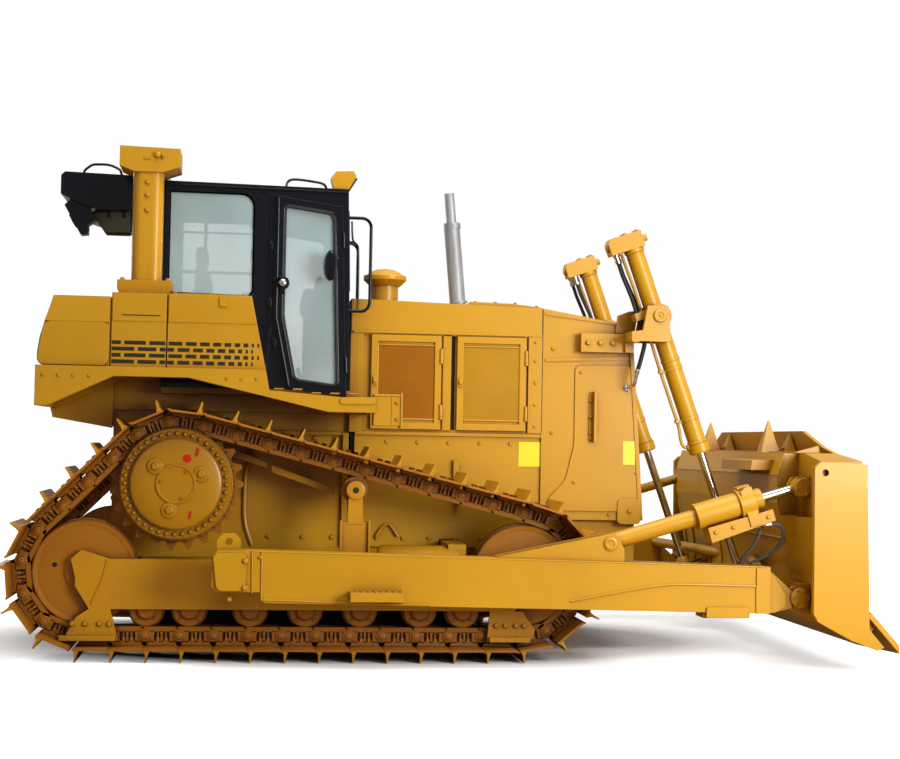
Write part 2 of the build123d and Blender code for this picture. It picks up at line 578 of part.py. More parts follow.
DOOR_AXIS_Y = BAY_HALF + SWING_GAP + DOOR_THICK


def make_engine_door(rear_x, front_x):
    """Engine door: bordered panel with a recessed screen and two knuckles."""
    low_y = BAY_HALF + SWING_GAP
    door = block(rear_x, front_x, low_y, DOOR_AXIS_Y, DOOR_LOW_Z, DOOR_HIGH_Z)
    door -= block(rear_x + DOOR_BORDER, front_x - DOOR_BORDER, DOOR_AXIS_Y - DOOR_RECESS, DOOR_AXIS_Y + 1,
                  DOOR_LOW_Z + DOOR_BORDER, DOOR_HIGH_Z - DOOR_BORDER)
    for start in knuckle_starts(DOOR_LOW_Z, DOOR_HIGH_Z):
        door -= block(front_x - KNUCKLE_RADIUS - PLATE_GAP, front_x + 1, low_y - 1, DOOR_AXIS_Y + 1,
                      start - LUG_RISE - 2 * PLATE_GAP, start)
        door += bar((front_x, DOOR_AXIS_Y, start), (front_x, DOOR_AXIS_Y, start + KNUCKLE_HEIGHT), KNUCKLE_RADIUS)
        door -= bar((front_x, DOOR_AXIS_Y, start - 1), (front_x, DOOR_AXIS_Y, start + KNUCKLE_HEIGHT + 1),
                    HINGE_PIN + PIN_CLEAR)
    return door


def make_hood():
    """Hood: an inverted tray over the engine bay."""
    hood = slab([(HOOD_REAR_X, HOOD_LOW_Z), (HOOD_FRONT_X, HOOD_LOW_Z), (HOOD_FRONT_X, HOOD_FRONT_Z),
                 (HOOD_REAR_X, HOOD_REAR_Z)], -BODY_HALF, BODY_HALF)
    rear_in = HOOD_REAR_X + WALL_THICK
    return hood - slab([(rear_in, HOOD_LOW_Z - 1), (HOOD_FRONT_X + 1, HOOD_LOW_Z - 1),
                        (HOOD_FRONT_X + 1, HOOD_FRONT_Z - HOOD_SHEET), (rear_in, HOOD_REAR_Z - HOOD_SHEET)],
                       -BODY_HALF + HOOD_SHEET, BODY_HALF - HOOD_SHEET)


def make_guard():
    """Nose guard: a shell, open behind, with a window for the grille."""
    outline = [(HOOD_FRONT_X, GUARD_FOOT[1]), GUARD_FOOT, GUARD_MID, GUARD_HEAD, GUARD_BROW,
               (HOOD_FRONT_X, HOOD_FRONT_Z)]
    guard = slab(outline, -BODY_HALF, BODY_HALF)
    inner = [(HOOD_FRONT_X - 1, GUARD_FOOT[1] + GUARD_WALL), (GUARD_FOOT[0] - GUARD_WALL, GUARD_FOOT[1] + GUARD_WALL),
             (GUARD_MID[0] - GUARD_WALL, GUARD_MID[1]), (GUARD_HEAD[0] - GUARD_WALL, GUARD_HEAD[1] - GUARD_WALL),
             (HOOD_FRONT_X - 1, HOOD_FRONT_Z - GUARD_WALL - 60)]
    guard -= slab(inner, -BODY_HALF + GUARD_WALL, BODY_HALF - GUARD_WALL)
    return guard - block(GUARD_HEAD[0] - 3 * GUARD_WALL, GUARD_FOOT[0] + 1, -BODY_HALF + GRILLE_MARGIN,
                         BODY_HALF - GRILLE_MARGIN, GRILLE_LOW_Z, GRILLE_HIGH_Z)


def make_grille():
    """Grille of level bars in the guard's window."""
    half = BODY_HALF - GRILLE_MARGIN
    face = [(GUARD_FOOT[0] - 28, GRILLE_LOW_Z), (GUARD_MID[0] - 16, GUARD_MID[1]), (GUARD_HEAD[0] - 10, GRILLE_HIGH_Z)]
    back = [(x - GRILLE_THICK, z) for x, z in reversed(face)]
    grille = slab(face + back, -half, half)
    pitch = (GRILLE_HIGH_Z - GRILLE_LOW_Z) / GRILLE_BARS
    for index in range(GRILLE_BARS):
        low = GRILLE_LOW_Z + (index + 0.25) * pitch
        for y0, y1 in ((-half + 30, -15), (15, half - 30)):
            grille -= block(GUARD_HEAD[0] - 200, GUARD_FOOT[0], y0, y1, low, low + pitch / 2)
    return grille


save("main_frame", make_main_frame())
save("equalizer_bar", block(*BAR_X, -GAUGE_HALF - 60, GAUGE_HALF + 60, BEAM_HIGH_Z, BEAM_HIGH_Z + BAR_HEIGHT))
save("engine_block", block(*ENGINE_X, -CASE_HALF + RAIL_WIDTH, CASE_HALF - RAIL_WIDTH, *ENGINE_Z))
save("platform", make_platform())
save("engine_bay_sides", both(make_bay_side()))
for place, edges in ENGINE_DOORS.items():
    save_sides(f"engine_door_{place}", make_engine_door(*edges))
save("hood", make_hood())
save("firewall", block(HOOD_REAR_X, HOOD_REAR_X + WALL_THICK, -BODY_HALF, BODY_HALF, CASE_TOP_Z, HOOD_LOW_Z))
save("radiator_guard", make_guard())
save("radiator_grille", make_grille())
save("radiator_core", block(*CORE_X, -BODY_HALF + GUARD_WALL, BODY_HALF - GUARD_WALL,
                            GUARD_FOOT[1] + GUARD_WALL, CORE_HIGH_Z))

# exhaust stack and air pre-cleaner stand on the hood's sloping top
HOOD_SLOPE = (HOOD_FRONT_Z - HOOD_REAR_Z) / (HOOD_FRONT_X - HOOD_REAR_X)


def hood_top(x):
    """Height of the hood's top at one X."""
    return HOOD_REAR_Z + (x - HOOD_REAR_X) * HOOD_SLOPE


def stack_point(z):
    """Point on the exhaust stack's axis."""
    return (STACK_FOOT_X + (z - hood_top(STACK_FOOT_X)) * STACK_LEAN, 0, z)


hood_solid = slab([(HOOD_REAR_X, HOOD_LOW_Z), (HOOD_FRONT_X, HOOD_LOW_Z), (HOOD_FRONT_X, HOOD_FRONT_Z),
                   (HOOD_REAR_X, HOOD_REAR_Z)], -BODY_HALF, BODY_HALF)
foot_z = hood_top(STACK_FOOT_X)
stack = (bar(stack_point(foot_z - STACK_RADII[0]), stack_point(STACK_STEP_Z), STACK_RADII[0])
         + bar(stack_point(STACK_STEP_Z), stack_point(STACK_TOP_Z), STACK_RADII[1]))
save("exhaust_stack", stack - hood_solid)
profile = [(0, 0, CLEANER[0][1]), *[(radius, 0, z) for radius, z in CLEANER], (0, 0, CLEANER[-1][1])]
cleaner = Pos(CLEANER_X, 0, 0) * revolve(make_face(Polyline(*profile, close=True)), axis=Axis.Z)
save("precleaner", cleaner - hood_solid)


# ------------------------------------------------------------ rear body
def make_fender():
    """Fender over one track, with the step in front of the service box."""
    outline = [*FENDER_LOW, (BOX_FRONT_LOW_X + 25, STEP_Z), (BOX_FRONT_LOW_X, FENDER_Z),
               (FENDER_LOW[0][0], FENDER_Z)]
    fender = slab(outline, BODY_HALF, FENDER_OUT)
    fender -= slab(FENDER_ARCH, BODY_HALF + FENDER_WALL, FENDER_OUT - FENDER_WALL)
    fender += block(*BRACKET_X, FENDER_OUT - 20 - BRACKET_WIDTH, FENDER_OUT - 20, *BRACKET_Z)
    return fender - block(CAB_REAR_X - PANEL_GAP, 0, 0, BOX_IN - 10, PLATFORM_Z - 12, FENDER_Z + 1)


def make_rops():
    """Safety frame: two posts on the service boxes, their heads and the cross beam."""
    post = block(*POST_X, POST_IN, POST_IN + POST_WIDTH, BOX_HIGH_Z + POST_FOOT - 1, HEAD_Z[0] + 1)
    post = fillet(post.edges().filter_by(Axis.Z), POST_ROUND)
    foot = [(POST_X[0] - 80, BOX_HIGH_Z + 40), (POST_X[0] - 60, BOX_HIGH_Z), (POST_X[1] + 50, BOX_HIGH_Z),
            (POST_X[1] + 70, BOX_HIGH_Z + 40), (POST_X[1] + 70, BOX_HIGH_Z + POST_FOOT),
            (POST_X[0] - 80, BOX_HIGH_Z + POST_FOOT)]
    post += slab(foot, POST_IN - POST_LAP, POST_IN + POST_WIDTH + POST_LAP)
    head = [(HEAD_X[0], HEAD_Z[1]), (HEAD_X[0], HEAD_Z[0] + HEAD_CHAMFER), (POST_X[0] + 10, HEAD_Z[0]),
            (POST_X[1], HEAD_Z[0]), (HEAD_X[1], HEAD_Z[0] + HEAD_CHAMFER), (HEAD_X[1], HEAD_Z[1] - HEAD_FALL)]
    head_out = POST_IN + POST_WIDTH + 10
    post += slab(head, head_out - HEAD_WIDTH, head_out)
    return post + mirrored(post) + block(*BEAM_X, HEAD_WIDTH - head_out - 1, head_out - HEAD_WIDTH + 1, *BEAM_Z)


save("fenders", both(make_fender()))
tank = slab([(TANK_REAR_X, FENDER_Z), (BOX_REAR_X - PANEL_GAP, FENDER_Z),
             (BOX_REAR_X - PANEL_GAP, TANK_SLOPE[0][1]), *[(TANK_REAR_X + x, z) for x, z in TANK_SLOPE]],
            -BOX_OUT, BOX_OUT)
save("fuel_tank", fillet(tank.edges().filter_by(Axis.Y).group_by(Axis.X)[0], TANK_ROUND))
seam = PANEL_GAP / 2
save("service_boxes", both(
    slab([(BOX_REAR_X, FENDER_Z), (BOX_SEAM_X - seam, FENDER_Z), (BOX_SEAM_X - seam, BOX_HIGH_Z),
          (BOX_REAR_X, BOX_HIGH_Z)], BOX_IN, BOX_OUT),
    slab([(BOX_SEAM_X + seam, FENDER_Z), (BOX_FRONT_LOW_X, FENDER_Z), (BOX_FRONT_HIGH_X, BOX_HIGH_Z),
          (BOX_SEAM_X + seam, BOX_HIGH_Z)], BOX_IN, BOX_OUT)))
save("rops", make_rops())
save("drawbar", block(CASE_REAR_X - DRAWBAR_LENGTH, CASE_REAR_X, -DRAWBAR_HALF, DRAWBAR_HALF, *DRAWBAR_Z)
     - Pos(CASE_REAR_X - DRAWBAR_LENGTH + DRAWBAR_HALF, 0, sum(DRAWBAR_Z) / 2) * Cylinder(DRAWBAR_BORE, 200))


# ------------------------------------------------------------ cab
def cab_front_x(z):
    """Outer face of the cab's front wall at one height."""
    share = (z - PLATFORM_Z) / (CAB_TOP_Z - CAB_FALL - PLATFORM_Z)
    return CAB_FRONT_LOW_X + share * (CAB_FRONT_HIGH_X - CAB_FRONT_LOW_X)


FLOOR_Z = PLATFORM_Z + CAB_FLOOR
ROOF_REAR_Z = CAB_TOP_Z - CAB_WALL
ROOF_FRONT_Z = CAB_TOP_Z - CAB_FALL - CAB_WALL
WINDOW_HALF = CAB_HALF - WINDOW_SIDE
CAB_IN = CAB_HALF - CAB_WALL
DOOR_Y = CAB_HALF + SWING_GAP


def make_cab_side():
    """Cab side wall between floor and roof, with door opening and window."""
    side = slab([(CAB_REAR_X, FLOOR_Z), (cab_front_x(FLOOR_Z), FLOOR_Z),
                 (cab_front_x(ROOF_FRONT_Z), ROOF_FRONT_Z), (CAB_REAR_X, ROOF_REAR_Z)], CAB_IN, CAB_HALF)
    side -= inset_slab(CAB_DOOR, CAB_DOOR_LAP, CAB_IN - 1, CAB_HALF + 1)
    side -= block(*SIDE_WINDOW_X, CAB_IN - 1, CAB_HALF + 1, *SIDE_WINDOW_Z)
    for start in CAB_KNUCKLES:
        low, high = on_hinge(start - LUG_RISE), on_hinge(start - PLATE_GAP)
        side += bar(low, high, KNUCKLE_RADIUS) + block(low[0] - 8, low[0] + 8, CAB_HALF, DOOR_HINGE_Y,
                                                        low[2] + 2, high[2] - 2)
        side += bar(on_hinge(start - 2 * PLATE_GAP), on_hinge(start + KNUCKLE_HEIGHT), HINGE_PIN)
    return side


DOOR_HINGE_Y = DOOR_Y + CAB_DOOR_THICK
hinge_low, hinge_high = CAB_DOOR[0], CAB_DOOR[1]
hinge_length = math.dist(hinge_low, hinge_high)
CAB_KNUCKLES = (180.0, hinge_length - 180.0 - KNUCKLE_HEIGHT)


def on_hinge(distance):
    """Point on the cab door's hinge line, measured up from its low end."""
    share = distance / hinge_length
    return (hinge_low[0] + share * (hinge_high[0] - hinge_low[0]), DOOR_HINGE_Y,
            hinge_low[1] + share * (hinge_high[1] - hinge_low[1]))


def make_cab_door():
    """Cab door frame with a window opening and two knuckles."""
    door = inset_slab(CAB_DOOR, 0, DOOR_Y, DOOR_HINGE_Y)
    door -= inset_slab(CAB_DOOR, CAB_DOOR_RIM, DOOR_Y - 1, DOOR_HINGE_Y + 1)
    for start in CAB_KNUCKLES:
        low, high = on_hinge(start - LUG_RISE - 2 * PLATE_GAP), on_hinge(start)
        door -= block(low[0] - KNUCKLE_RADIUS - 2 * PLATE_GAP, low[0] + 2 * KNUCKLE_RADIUS, DOOR_Y - 1,
                      DOOR_HINGE_Y + KNUCKLE_RADIUS, low[2], high[2])
        door += bar(on_hinge(start), on_hinge(start + KNUCKLE_HEIGHT), KNUCKLE_RADIUS)
        door -= bar(on_hinge(start - 1), on_hinge(start + KNUCKLE_HEIGHT + 1), HINGE_PIN + PIN_CLEAR)
    return door


front = slab([(cab_front_x(FLOOR_Z) - CAB_WALL, FLOOR_Z), (cab_front_x(FLOOR_Z), FLOOR_Z),
              (cab_front_x(ROOF_FRONT_Z), ROOF_FRONT_Z), (cab_front_x(ROOF_FRONT_Z) - CAB_WALL, ROOF_FRONT_Z)],
             -CAB_IN, CAB_IN)
front -= block(CAB_FRONT_HIGH_X - 2 * CAB_WALL, CAB_FRONT_LOW_X, -WINDOW_HALF, WINDOW_HALF, *WINDSCREEN_Z)
rear = block(CAB_REAR_X, CAB_REAR_X + CAB_WALL, -CAB_IN, CAB_IN, FLOOR_Z, ROOF_REAR_Z - 1)
rear -= block(CAB_REAR_X - 1, CAB_REAR_X + CAB_WALL + 1, -WINDOW_HALF, WINDOW_HALF, *REAR_WINDOW_Z)
save("cab_floor", block(CAB_REAR_X, cab_front_x(FLOOR_Z), -CAB_HALF, CAB_HALF, PLATFORM_Z, FLOOR_Z))
save("cab_front", front)
save("cab_rear", rear)
save("cab_sides", both(make_cab_side()))
roof = slab([(CAB_REAR_X, ROOF_REAR_Z), (cab_front_x(ROOF_FRONT_Z), ROOF_FRONT_Z),
             (CAB_FRONT_HIGH_X, CAB_TOP_Z - CAB_FALL), (CAB_REAR_X, CAB_TOP_Z)], -CAB_HALF, CAB_HALF)
save("cab_roof", roof)
glass_y = CAB_HALF - 20
save("cab_glass", both(
    block(*SIDE_WINDOW_X, glass_y, glass_y + GLASS_THICK, *SIDE_WINDOW_Z)
) + [block(CAB_REAR_X + 20, CAB_REAR_X + 20 + GLASS_THICK, -WINDOW_HALF, WINDOW_HALF, *REAR_WINDOW_Z),
     block(CAB_FRONT_HIGH_X - 30, CAB_FRONT_HIGH_X - 30 + GLASS_THICK, -WINDOW_HALF, WINDOW_HALF, *WINDSCREEN_Z)])
save_sides("cab_door", make_cab_door())
save_sides("door_glass", inset_slab(CAB_DOOR, CAB_DOOR_RIM, DOOR_Y + 14, DOOR_Y + 14 + GLASS_THICK))

SEAT_Z = FLOOR_Z + SEAT_RISE
seat = block(*SEAT_X, -SEAT_HALF, SEAT_HALF, SEAT_Z, SEAT_Z + SEAT_THICK)
seat += block(*SEAT_BACK_X, -SEAT_HALF, SEAT_HALF, SEAT_Z, SEAT_Z + SEAT_BACK_RISE)
base_half = SEAT_HALF - SEAT_BASE_INSET
seat += block(SEAT_X[0] + SEAT_BASE_INSET, SEAT_X[1] - SEAT_BASE_INSET, -base_half, base_half, FLOOR_Z, SEAT_Z)
save("seat", seat)
save("console", block(CONSOLE_REAR_X, cab_front_x(ROOF_FRONT_Z) - CAB_WALL - 12, -CONSOLE_HALF, CONSOLE_HALF,
                      FLOOR_Z, FLOOR_Z + CONSOLE_HEIGHT))
roof_box = slab(ROOF_BOX, -ROOF_BOX_HALF, ROOF_BOX_HALF)
roof_box += slab(ROOF_DUCT, *ROOF_DUCT_Y)
save("roof_box", roof_box)

lamp = slab([(x, CAB_TOP_Z - CAB_FALL + rise) for x, rise in ROOF_LAMP], LAMP_Y - LAMP_WIDTH, LAMP_Y)
rear_lamp_y = REAR_LAMP_INSET - ROOF_BOX_HALF
rear_lamp = slab(REAR_LAMP, rear_lamp_y, rear_lamp_y + REAR_LAMP_WIDTH)
save("work_lamps", both(lamp - roof))
save("rear_lamp", rear_lamp - roof_box)
grab_low, grab_high = GRAB_Z
rail_points = [(cab_front_x(grab_low - GRAB_FOOT), GRAB_Y, grab_low), (GRAB_X, GRAB_Y, grab_low),
               (GRAB_X, GRAB_Y, grab_high), (cab_front_x(grab_high - GRAB_FOOT), GRAB_Y, grab_high)]
save("grab_rails", both(tube(rail_points, [GRAB_BEND, GRAB_BEND], GRAB_RADIUS)))


# ------------------------------------------------------------ lift linkage
LIFT_ANGLE = math.atan2(ROD_PIN[1] - YOKE_PIN[1], ROD_PIN[0] - YOKE_PIN[0])
LIFT_REST = math.dist(YOKE_PIN, ROD_PIN)


def on_lift(distance, aside=0.0, y=LIFT_Y):
    """Point by the lift cylinder's axis, measured down from the yoke pin."""
    return (YOKE_PIN[0] + distance * math.cos(LIFT_ANGLE) + aside * math.sin(LIFT_ANGLE), y,
            YOKE_PIN[1] + distance * math.sin(LIFT_ANGLE) - aside * math.cos(LIFT_ANGLE))


def lift_slab(corners, y0, y1):
    """Block in the lift cylinder's own directions: (distance, aside) corners."""
    return slab([on_lift(*corner)[::2] for corner in corners], y0, y1)


def make_lift_barrel():
    """Barrel with its head, gland and the trunnion block that the yoke holds."""
    barrel = bar(on_lift(-BARREL_ABOVE), on_lift(BARREL_BELOW), BARREL_RADIUS)
    barrel += bar(on_lift(BARREL_BELOW - GLAND_LENGTH), on_lift(BARREL_BELOW), GLAND_RADIUS)
    head_end = -BARREL_ABOVE - BARREL_HEAD
    barrel += lift_slab([(-BARREL_ABOVE, -72), (-BARREL_ABOVE, 172), (head_end + 30, 172), (head_end, 150),
                         (head_end, -72)], LIFT_Y - 67, LIFT_Y + 67)
    barrel += disc(YOKE_PIN, TRUNNION_BLOCK, LIFT_Y - CHEEK_IN + PLATE_GAP, LIFT_Y + CHEEK_IN - PLATE_GAP)
    barrel += disc(YOKE_PIN, YOKE_PIN_RADIUS, LIFT_Y - CHEEK_IN - CHEEK_THICK, LIFT_Y + CHEEK_IN + CHEEK_THICK)
    barrel += lift_slab([(-CLAMP_ABOVE, 50), (-CLAMP_ABOVE, 150), (-12, 150), (-12, 50)], LIFT_Y - 55, LIFT_Y + 55)
    barrel -= bar(on_lift(-BARREL_ABOVE + 30), on_lift(BARREL_BELOW - GLAND_LENGTH), BARREL_BORE)
    return barrel - bar(on_lift(BARREL_BELOW - GLAND_LENGTH - 10), on_lift(BARREL_BELOW + 1), ROD_RADIUS + PIN_CLEAR)


def make_lift_rod():
    """Rod with its piston and the eye at its foot."""
    inner_end = BARREL_BELOW - ROD_INSIDE
    rod = bar(on_lift(LIFT_REST - EYE_BORE - 12), on_lift(inner_end), ROD_RADIUS)
    rod += bar(on_lift(inner_end), on_lift(inner_end + PISTON_LENGTH), BARREL_BORE - PISTON_GAP)
    rod += disc(ROD_PIN, EYE_RADIUS, LIFT_Y - EYE_WIDTH / 2, LIFT_Y + EYE_WIDTH / 2)
    return rod - disc(ROD_PIN, EYE_BORE, LIFT_Y - EYE_WIDTH, LIFT_Y + EYE_WIDTH)


def make_yoke():
    """Bracket on the nose guard with two cheeks round the lift cylinder."""
    yoke = block(*YOKE_BAR[:2], BODY_HALF, LIFT_Y + CHEEK_IN + CHEEK_THICK, *YOKE_BAR[2:])
    for low_y in (LIFT_Y - CHEEK_IN - CHEEK_THICK, LIFT_Y + CHEEK_IN):
        yoke += slab(YOKE_CHEEK, low_y, low_y + CHEEK_THICK)
    yoke += block(*YOKE_PAD[:2], BODY_HALF, BODY_HALF + YOKE_PAD_WIDTH, *YOKE_PAD[2:])
    return yoke - disc(YOKE_PIN, YOKE_PIN_RADIUS + PIN_CLEAR, LIFT_Y - 2 * CHEEK_IN, LIFT_Y + 2 * CHEEK_IN)


save_sides("lift_barrel", make_lift_barrel())
save_sides("lift_rod", make_lift_rod())
save("lift_yokes", both(make_yoke()))

# hoses from the head's rear ports down to the clamp on the trunnion block
HOSE_RADIUS = 13.0
hoses = []
for high, low, y in ((140.0, 128.0, LIFT_Y + 30), (118.0, 100.0, LIFT_Y - 30)):
    route = [on_lift(-BARREL_ABOVE, high, y), on_lift(-BARREL_ABOVE + 150, high, y),
             on_lift(-180, low, y), on_lift(-CLAMP_ABOVE, low, y)]
    hoses.append(tube(route, [300, 300], HOSE_RADIUS))
save_sides("lift_hoses", Compound(children=hoses))


# ------------------------------------------------------------ dozer
def make_arm():
    """Push arm: box beam with trunnion bearing, front knuckle and tilt lugs."""
    arm = slab(ARM_BEAM, ARM_IN, ARM_OUT)
    arm += slab([(TRUNNION_X - 96, 727), (TRUNNION_X - 128, 695), (TRUNNION_X - 128, 507), (TRUNNION_X - 96, 475),
                 (-1150, 475), (ARM_REAR_X, 727)], ARM_IN, ARM_OUT)
    arm += slab(LIFTING_EYE, ARM_MID - 20, ARM_MID + 20)
    arm -= disc(EYE_HOLE, EYE_HOLE_RADIUS, ARM_MID - 21, ARM_MID + 21)
    arm -= disc((TRUNNION_X, TRUNNION_Z), TRUNNION_RADIUS + PIN_CLEAR, ARM_IN - 1, ARM_OUT - 20 + PLATE_GAP)
    arm += slab([*ARM_CASTING, (BALL_X, BALL_Z - 60), (BALL_X, BALL_Z + 50)], ARM_IN + CASTING_INSET,
                ARM_OUT - CASTING_INSET)
    arm += block(*WEAR_PAD[:2], ARM_IN + 20, ARM_OUT - 20, *WEAR_PAD[2:])
    arm += block(*ARM_STEP[:2], ARM_OUT, ARM_OUT + ARM_STEP_WIDTH, *ARM_STEP[2:])
    for low_y in (ARM_MID - TILT_TUBE - PLATE_GAP - EAR_THICK, ARM_MID + TILT_TUBE + PLATE_GAP):
        arm += slab(TILT_LUG, low_y, low_y + EAR_THICK)
    reach = TILT_TUBE + PLATE_GAP + EAR_THICK
    return arm + disc(TILT_REAR, TILT_PIN, ARM_MID - reach, ARM_MID + reach)


def blade_section(y):
    """Closed section of the blade: concave front, boxed back, spill guard."""
    points = [FACE_LOW, *BLADE_BACK, GUARD_BACK, GUARD_FRONT, FACE_HIGH]
    edges = [Line((a[0], y, a[1]), (b[0], y, b[1])) for a, b in zip(points, points[1:])]
    edges.append(ThreePointArc((FACE_HIGH[0], y, FACE_HIGH[1]), (FACE_MID[0], y, FACE_MID[1]),
                               (FACE_LOW[0], y, FACE_LOW[1])))
    return make_face(Wire(edges))


def spread(face_at, end_y):
    """Run a section straight to the wing, then sheared forwards to end_y."""
    lead = Vector(WING_FORWARD, WING_WIDTH, 0)
    share = (end_y - WING_Y) / WING_WIDTH
    return (extrude(face_at(0), amount=WING_Y, dir=(0, 1, 0))
            + extrude(face_at(WING_Y), amount=lead.length * share, dir=tuple(lead.normalized())))


def make_end_plate():
    """Plate that closes the blade's wing, with its lifting hole."""
    plate = slab(END_PLATE, BLADE_HALF - WING_PLATE, BLADE_HALF)
    return plate - disc(END_PLATE_HOLE, EYE_HOLE_RADIUS, BLADE_HALF - WING_PLATE - 1, BLADE_HALF + 1)


def pyramid(x0, x1, y, half_width, z, apex):
    """Four-sided gusset on a level base."""
    base = Plane(origin=((x0 + x1) / 2, y, z)) * Rectangle(x1 - x0, 2 * half_width)
    tip = Plane(origin=(apex[0], y, apex[1])) * Rectangle(6, 6)
    return loft([base.face(), tip.face()])


def make_blade_half():
    """Left half of the blade with its sockets, ears and gussets."""
    half = spread(blade_section, BLADE_HALF - WING_PLATE)
    # the upper box ends short of the wing; the spill guard falls towards it
    half -= block(2150, 2330, WING_Y - 20, BLADE_HALF, 980, 1600)
    half += make_end_plate()
    above_z = SPILL_TOP_Z + 20
    spill = [(SPILL_FLAT, above_z), (SPILL_FLAT, SPILL_TOP_Z), (WING_Y + 140, SPILL_END_Z[0]),
             (BLADE_HALF + 1, SPILL_END_Z[1]), (BLADE_HALF + 1, above_z)]
    half -= extrude(make_face(Polyline(*[(2000, y, z) for y, z in spill], close=True)), amount=1000, dir=(1, 0, 0))
    for x0, x1, y, half_width, tip_x, tip_z in GUSSETS:
        half += pyramid(x0, x1, y, half_width, BLADE_BACK[-2][1], (tip_x, tip_z))
    half += block(BALL_X + 22, 2330, ARM_MID - 80, ARM_MID + 80, BALL_Z - 95, BALL_Z + 95)
    for low_y in (ARM_MID - TILT_EYE - 36, ARM_MID + TILT_EYE + PLATE_GAP):
        half += slab([(TILT_FRONT[0] - 70, TILT_FRONT[1]), (TILT_FRONT[0] - 40, TILT_FRONT[1] - 62),
                      (2420, TILT_FRONT[1] - 75), (2420, TILT_FRONT[1] + 75),
                      (TILT_FRONT[0] - 40, TILT_FRONT[1] + 62)], low_y, low_y + 35)
    for low_y in (LIFT_Y - EYE_WIDTH / 2 - EAR_GAP - EAR_THICK, LIFT_Y + EYE_WIDTH / 2 + EAR_GAP):
        half += slab(LIFT_EAR, low_y, low_y + EAR_THICK)
    reach = EYE_WIDTH / 2 + EAR_GAP + EAR_THICK
    half += disc(ROD_PIN, LIFT_PIN_RADIUS, LIFT_Y - reach, LIFT_Y + reach)
    return half


def on_edge(along, out):
    """Point of the cutting edge's section."""
    return (FACE_LOW[0] + along * math.cos(EDGE_SLOPE) + out * math.sin(EDGE_SLOPE),
            FACE_LOW[1] - along * math.sin(EDGE_SLOPE) + out * math.cos(EDGE_SLOPE))


def on_tilt(distance, aside=0.0):
    """Point by the tilt cylinder's axis, measured from its rear pin."""
    angle = math.atan2(TILT_FRONT[1] - TILT_REAR[1], TILT_FRONT[0] - TILT_REAR[0])
    return (TILT_REAR[0] + distance * math.cos(angle) - aside * math.sin(angle), ARM_MID,
            TILT_REAR[1] + distance * math.sin(angle) + aside * math.cos(angle))


def tilt_eyes():
    """Eyes at both ends of the tilt cylinder or the brace."""
    return (disc(TILT_REAR, TILT_PIN + 22, ARM_MID - TILT_EYE, ARM_MID + TILT_EYE)
            + disc(TILT_FRONT, 58, ARM_MID - TILT_EYE, ARM_MID + TILT_EYE))


def make_tilt_cylinder():
    """Tilt cylinder: long tube, barrel, collar, gland, rod and guard plate."""
    length = math.dist(TILT_REAR, TILT_FRONT)
    start, collar, gland, end = TILT_SPAN
    tilt = bar(on_tilt(0), on_tilt(start), TILT_TUBE) + bar(on_tilt(start), on_tilt(collar), TILT_BARREL)
    tilt += bar(on_tilt(collar - 30), on_tilt(gland), TILT_BARREL + 14)
    tilt += bar(on_tilt(gland), on_tilt(end), TILT_BARREL - 15)
    tilt += bar(on_tilt(end), on_tilt(length - 30), TILT_ROD) + tilt_eyes()
    tilt += slab([on_tilt(640, -TILT_BARREL + 5)[::2], on_tilt(1085, -TILT_BARREL + 5)[::2],
                  on_tilt(1085, -TILT_BARREL - 70)[::2], on_tilt(640, -TILT_BARREL - 95)[::2]],
                 ARM_MID - 75, ARM_MID + 75)
    return tilt - disc(TILT_REAR, TILT_PIN, ARM_MID - 2 * TILT_EYE, ARM_MID + 2 * TILT_EYE)


def make_tilt_brace():
    """Screw brace of the side without a tilt cylinder."""
    length = math.dist(TILT_REAR, TILT_FRONT)
    brace = bar(on_tilt(0), on_tilt(900), TILT_TUBE) + bar(on_tilt(900), on_tilt(length - 30), 36)
    brace += bar(on_tilt(870), on_tilt(930), 66) + tilt_eyes()
    return brace - disc(TILT_REAR, TILT_PIN, ARM_MID - 2 * TILT_EYE, ARM_MID + 2 * TILT_EYE)


arm = make_arm()
blade_half = make_blade_half()
edge = [on_edge(-EDGE_ABOVE, 0), on_edge(-EDGE_ABOVE, EDGE_THICK), on_edge(EDGE_BELOW - 40, EDGE_THICK),
        on_edge(EDGE_BELOW, 0)]
cutting_half = spread(lambda y: outline_face(edge, y), BLADE_HALF) - blade_half
save("push_arms", both(arm))
hose_cover = slab(HOSE_COVER, *HOSE_COVER_Y)
save("blade", blade_half + mirrored(blade_half) + hose_cover)
save("cutting_edge", cutting_half + mirrored(cutting_half))
save("tilt_cylinder", mirrored(make_tilt_cylinder() - blade_half))
save("tilt_brace", make_tilt_brace() - blade_half)
(arm_x, arm_z), (blade_x, blade_z) = BRACE_ENDS
diagonal = bar((arm_x, ARM_IN + 20, arm_z), (blade_x, BRACE_END_Y, blade_z), BRACE_RADIUS) - blade_half - arm
save("diagonal_braces", both(diagonal.solids().sort_by(SortBy.VOLUME)[-1]))
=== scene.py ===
"""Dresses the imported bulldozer: finishes, fasteners, tracks, glass, hoses and light."""
import json
import logging
import math
from dataclasses import dataclass, field
from enum import Enum
from typing import Any, Iterable, Sequence

import bmesh
import bpy
from mathutils import Matrix, Vector

